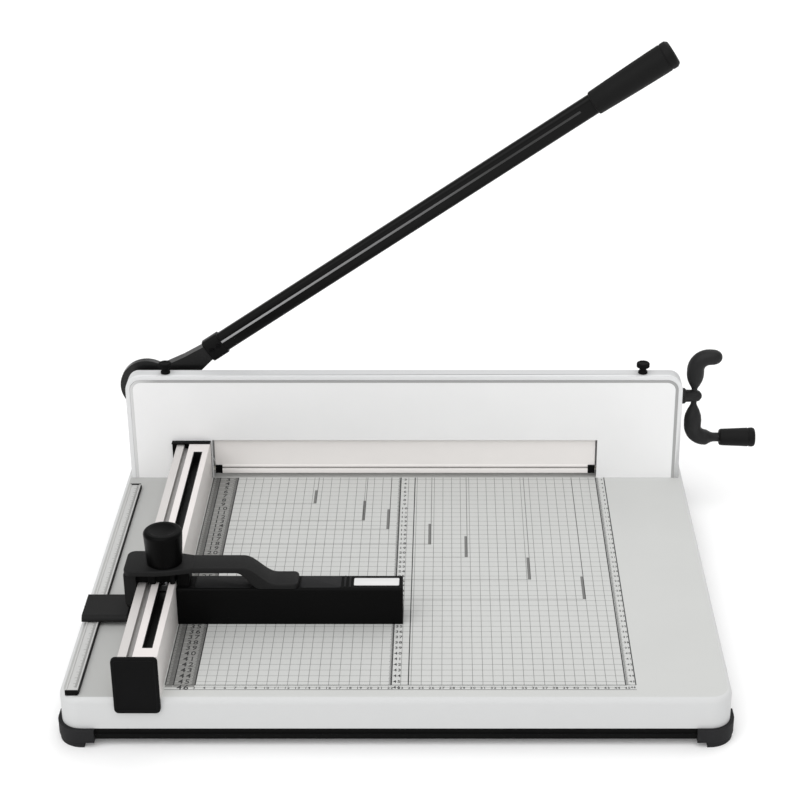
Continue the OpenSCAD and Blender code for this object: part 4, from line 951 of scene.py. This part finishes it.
bm = bmesh.new()
saddle_block(bm, leg_x + 2 * MM, body_right, saddle_low.y + 9 * MM, saddle_high.y - 4 * MM)
saddle_block(bm, fence_low.x + 0.2 * MM, saddle_high.x - 4 * MM, fence_low.y + 5 * MM, fence_high.y - 1 * MM,
             bottom=fence_top)
saddle_block(bm, slot_x + 6.5 * MM, body_right, lug_front, lug_back)
saddle_block(bm, slot_x - 16 * MM, slot_x - 8 * MM, lug_front, lug_back)
# Painted shade: the body under the plate is given the fence's deeper black.
make_piece("saddle_body", bm, fence_plastic_and_shade, "gauge", 40)

# %% [markdown]
# ## Gauge handle
# A flat bridge runs from the saddle, level at first, and falls to the fence in a smooth curve. Its end face
# is extruded in small steps along the curve, and each new face is set to the heights of the top and the
# underside there. The pad at its end has rounded corners, and the long edges are softened.

# %% Handle
BRIDGE_THICK = 5.5 * MM
PAD_RISE = 5 * MM
TOP_FALL = 34 * MM
UNDER_FALL = 24 * MM
UNDER_EARLY = 6 * MM
CURVE_STEPS = 24
slit_top = handle_high.z - BRIDGE_THICK - fence_top
high_rise = slit_top + BRIDGE_THICK - PAD_RISE
fall_start = handle_low.x + 50 * MM


def fall(t):
    """A smooth fall from 1 to 0 as t goes from 0 to 1."""
    return (1 + math.cos(math.pi * min(1.0, max(0.0, t)))) / 2


def handle_heights(x):
    """Heights of the underside and the top of the handle at a place along it."""
    under = fence_top + slit_top * fall((x - fall_start + UNDER_EARLY) / UNDER_FALL)
    return under, fence_top + PAD_RISE + high_rise * fall((x - fall_start) / TOP_FALL)


def on_top(vertex):
    """Whether a vertex lies in the handle's upper face."""
    return vertex.co.z > handle_heights(vertex.co.x)[1] - 0.01 * MM


bm = bmesh.new()
low_z, high_z = handle_heights(handle_low.x)
end = ((handle_low.y, low_z), (handle_high.y, low_z), (handle_high.y, high_z), (handle_low.y, high_z))
face = bm.faces.new([bm.verts.new((handle_low.x, y, z)) for y, z in end])
stops = [fall_start - 12 * MM + 50 * MM * k / CURVE_STEPS for k in range(CURVE_STEPS + 1)]
for x in (*stops, handle_high.x):
    face = extrude_on(bm, face)
    half_way = face.calc_center_median().z
    low_z, high_z = handle_heights(x)
    for vertex in face.verts:
        vertex.co.z = high_z if vertex.co.z > half_way else low_z
        vertex.co.x = x
bmesh.ops.recalc_face_normals(bm, faces=bm.faces)
pad_corners = own_edges(list(face.verts), lambda a, b: abs(a.z - b.z) > 1 * MM)
round_edges(bm, pad_corners, 6 * MM, 5)
upper_edges = [e for e in bm.edges if e.calc_face_angle(0) > 0.9 and all(on_top(v) for v in e.verts)
               and max(v.co.x for v in e.verts) > handle_low.x + 1 * MM]
round_edges(bm, upper_edges, 1.2 * MM, 3)
make_piece("gauge_bridge", bm, saddle_plastic, "gauge", 40, instead_of="gauge_handle")

# %% [markdown]
# ## Rail caps
# The cap on the rail's front end is a thin moulding with a shallow panel in its face. The panel is the front
# face inset and pushed back. At the other end a black lip of the rear cap lies on the rail; it widens the
# dark band above the rail's end, a painted shade of the shadowed gap under the window's top.

# %% Front cap
CAP_PANEL = 2 * MM
CAP_STEP = 0.4 * MM
CAP_SINK = 0.7 * MM


def front_of(bm):
    """The face that lies furthest to the front."""
    return min(bm.faces, key=lambda f: f.calc_center_median().y)


bm = bmesh.new()
add_box(bm, *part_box("rail_front_cap"))
round_edges(bm, edges_along(bm, "y"), 4.5 * MM, 5)
round_edges(bm, front_of(bm).edges, 0.8 * MM, 2)
panel = front_of(bm)
bmesh.ops.inset_region(bm, faces=[panel], thickness=CAP_PANEL)
bmesh.ops.inset_region(bm, faces=[panel], thickness=CAP_STEP)
bmesh.ops.translate(bm, vec=(0, CAP_SINK, 0), verts=panel.verts)
make_piece("rail_cap_panel", bm, cap_plastic, "base", 35, instead_of="rail_front_cap")

# %% Lip of the rear cap, a painted shade
LIP_REACH = 5 * MM
lip_low, lip_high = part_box("rail_rear_cap")
# Painted shade: a black lip on the rail widens the dark band at the window's top.
bm = bmesh.new()
add_box(bm, (lip_low.x, lip_low.y - LIP_REACH, rail_top - 0.1 * MM),
        (lip_high.x, lip_high.y - 0.5 * MM, rail_top + 1 * MM))
round_edges(bm, edges_above(bm, rail_top), 0.4 * MM, 2)
make_piece("rear_cap_shade_lip", bm, fence_plastic_and_shade, "base", 40)

# %% [markdown]
# ## Thumb screws
# Two black thumb screws hold the cover. Each has a fluted head on a waisted foot: the flutes come from a
# ring whose every second point is drawn in, and the foot is a spun profile.

# %% Thumb screws
FOOT = ((0.3, 2.9), (0.3, 5.4), (2.2, 5.4), (4.6, 3.8), (6.4, 3.8), (8.4, 6.6), (8.4, 0))
HEAD_STEPS = ((4.2, 1.0), (0.9, 0.88), (0.1, 0.7), (-0.6, 0.9))
HEAD_RADIUS = 7.5 * MM
FLUTE = 0.93
THREAD_RADIUS = 2.9
for side in ("left", "right"):
    node = "thumb_screw_" + side
    low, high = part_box(node)
    axis = middle(node)
    foot_z = high.z - 14.5 * MM
    to_axis = Matrix.Translation((-axis.x, -axis.y, 0))
    bm = bmesh.new()
    ring = bmesh.ops.create_circle(bm, cap_ends=True, segments=44, radius=HEAD_RADIUS,
                                   matrix=Matrix.Translation((axis.x, axis.y, foot_z + 8 * MM)))["verts"]
    bmesh.ops.scale(bm, vec=(FLUTE, FLUTE, 1), verts=ring[::2], space=to_axis)
    face = ring[0].link_faces[0]
    for rise, shrink in HEAD_STEPS:
        face = extrude_on(bm, face)
        bmesh.ops.translate(bm, vec=(0, 0, rise * MM), verts=face.verts)
        bmesh.ops.scale(bm, vec=(shrink, shrink, 1), verts=face.verts, space=to_axis)
    thread_end = (low.z - foot_z) / MM
    foot = [(thread_end, 0), (thread_end, THREAD_RADIUS), *FOOT]
    foot_line = [(axis.x + radius * MM, axis.y, foot_z + height * MM) for height, radius in foot]
    spin_profile(bm, foot_line, (axis.x, axis.y, 0), (0, 0, 1))
    make_piece("thumb_head_" + side, bm, cap_plastic, "thumb_" + side, 35, instead_of=node)

# %% [markdown]
# ## Clamp foot
# The clamp ends in a round-edged bar with a lip above it. A dark grey strip lies in the groove between them,
# set back into it; its dark grey is a painted shade of the groove.

# %% Clamp foot
# Painted shade: a dark grey strip in the foot's groove.
groove_shade = finish("groove_shade", (0.30, 0.29, 0.28), 0.9, grain=0.3, edge=0.2, specular=0.1)
foot_low, foot_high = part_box("clamp_foot")
BAR_HEIGHT = 5.6 * MM
GROOVE = 2.0 * MM
LIP_BACK = 0.9 * MM
SHADE_BACK = LIP_BACK + 0.3 * MM
SHADE_SINK = 0.2 * MM
bar_top = foot_low.z + BAR_HEIGHT
bm = bmesh.new()
add_box(bm, foot_low, (foot_high.x, foot_high.y, bar_top))
add_box(bm, (foot_low.x, foot_low.y + LIP_BACK, bar_top + GROOVE), foot_high)
front_edges = [e for e in edges_along(bm, "x") if e.verts[0].co.y < foot_high.y - 0.1 * MM]
round_edges(bm, front_edges, 0.3 * MM, 3)
make_piece("foot_bar", bm, clamp_paint, "clamp", 40, instead_of="clamp_foot")

bm = bmesh.new()
add_box(bm, (foot_low.x, foot_low.y + SHADE_BACK, bar_top - SHADE_SINK),
        (foot_high.x, foot_high.y, bar_top + GROOVE + SHADE_SINK))
round_edges(bm, edges_along(bm, "x"), 0.15 * MM, 2)
make_piece("foot_groove_shade", bm, groove_shade, "clamp", 40)

# %% [markdown]
# ## Screws in the back
# The rear plate is held to the posts and to the beam by socket screws. Their heads are the same shape as
# those of the collar, only larger.

# %% Rear screws
rear_low, rear_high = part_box("rear_plate")
REAR_HEAD = 4.2 * MM
POST_HEIGHTS = (14 * MM, 46 * MM)
BEAM_PLACES = (0.36, 0.64)
head_y = rear_high.y + 0.25 * REAR_HEAD
spots = [(middle(post).x, head_y, rear_low.z + height)
         for post in ("frame_post_left", "frame_post_right") for height in POST_HEIGHTS]
spots += [(rear_low.x + part * (rear_high.x - rear_low.x), head_y, rear_high.z - 7 * MM)
          for part in BEAM_PLACES]
bm = bmesh.new()
for spot in spots:
    add_screw_head(bm, spot, 1, REAR_HEAD)
make_piece("rear_screws", bm, bright_steel, "base", 30)

# %% [markdown]
# ## Cover corners
# The cover is a folded sheet, and its fold stays round along the slope at the back as well. A rounded
# block is made from a box, a cut along the slope and a bevel of the end edges. A Boolean modifier then
# keeps what the cover and the block share, which trims the corners and leaves the rest alone.

# %% Rounded block
COVER_FLAT = 17 * MM
COVER_FALL = 13 * MM
COVER_ROUND = 14 * MM
LOOSE = 0.02 * MM
PAST = 5 * MM
cover_low, cover_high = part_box("blade_cover")
slope_run = cover_high.y - cover_low.y - COVER_FLAT
slope_normal = Vector((0, COVER_FALL, slope_run)).normalized()
slope_start = Vector((0, cover_low.y + COVER_FLAT, cover_high.z)) + LOOSE * slope_normal
bm = bmesh.new()
add_box(bm, cover_low - Vector((LOOSE, PAST, PAST)), cover_high + Vector((LOOSE, PAST, LOOSE)))
whole = list(bm.verts) + list(bm.edges) + list(bm.faces)
bmesh.ops.bisect_plane(bm, geom=whole, plane_co=slope_start, plane_no=slope_normal, clear_outer=True)
bmesh.ops.holes_fill(bm, edges=bm.edges, sides=0)
bmesh.ops.recalc_face_normals(bm, faces=bm.faces)
end_edges = [e for e in bm.edges if any(abs(f.normal.x) > 0.9 for f in e.link_faces)
             and any(f.normal.z > 0.5 for f in e.link_faces)]
print("cover block:", len(end_edges), "end edges to round")
round_edges(bm, end_edges, COVER_ROUND, 8)
block = link_mesh("cover_block", bm)

# %% Rounded cover
bm = bmesh.new()
bm.from_mesh(nodes["blade_cover"].data)
bmesh.ops.remove_doubles(bm, verts=bm.verts, dist=0.001 * MM)
trimmed = link_mesh("cover_trimmed", bm)
trim = trimmed.modifiers.new("round_corners", "BOOLEAN")
trim.operation = "INTERSECT"
trim.solver = "EXACT"
trim.object = block
graph = bpy.context.evaluated_depsgraph_get()
cover_mesh = bpy.data.meshes.new_from_object(trimmed.evaluated_get(graph))
bpy.data.objects.remove(trimmed)
bpy.data.objects.remove(block)
bm = bmesh.new()
bm.from_mesh(cover_mesh)
print("cover:", sum(not e.is_manifold for e in bm.edges), "open edges")
make_piece("cover_sheet", bm, cover_paint, "base", 30, instead_of="blade_cover")

# %% [markdown]
# ## Painted shade in the seam of the front plate
# A grey strip fills the seam between the front plate and the cover, and draws the grey line round the plate:
# a painted shade of the gap there. Three sides of a box give its path, the two upper corners are bevelled,
# and solidify turns the bent sheet into a strip. On the left it is paler, where the painted shade is weaker.

# %% Seam shade
SHADE_STRIP_WIDE = 3.2 * MM
SHADE_STRIP_PROUD = 0.1 * MM
SHADE_STRIP_DEEP = 1.4 * MM
SHADE_STRIP_ROUND = 13 * MM
SHADE_STRIP_PALE = 30 * MM
SEAM = 0.5 * MM
# Painted shade: a grey strip in the seam stands in for the shaded gap, paler at the plate's left end.
seam_shade_paint = finish("seam_shade_paint", grey(0.70), 0.7, grain=0.1, mottle=0.02, edge=0.2, specular=0.1)
panel_low, panel_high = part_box("front_plate")
fade_along(seam_shade_paint, "X", panel_low.x, panel_low.x + SHADE_STRIP_PALE, grey(0.40))
bm = bmesh.new()
add_box(bm, (panel_low.x - SEAM, plate_y - SHADE_STRIP_PROUD, panel_low.z),
        (panel_high.x + SEAM, plate_y + SHADE_STRIP_DEEP, panel_high.z + SEAM))
upper_corners = [e for e in edges_along(bm, "y") if e.verts[0].co.z > panel_high.z]
round_edges(bm, upper_corners, SHADE_STRIP_ROUND, 8)
open_sides = [f for f in bm.faces if abs(f.normal.y) > 0.9 or f.normal.z < -0.9]
bmesh.ops.delete(bm, geom=open_sides, context="FACES")
bmesh.ops.solidify(bm, geom=list(bm.faces), thickness=SHADE_STRIP_WIDE)
bmesh.ops.recalc_face_normals(bm, faces=bm.faces)
make_piece("plate_seam_shade", bm, seam_shade_paint, "base", 30)
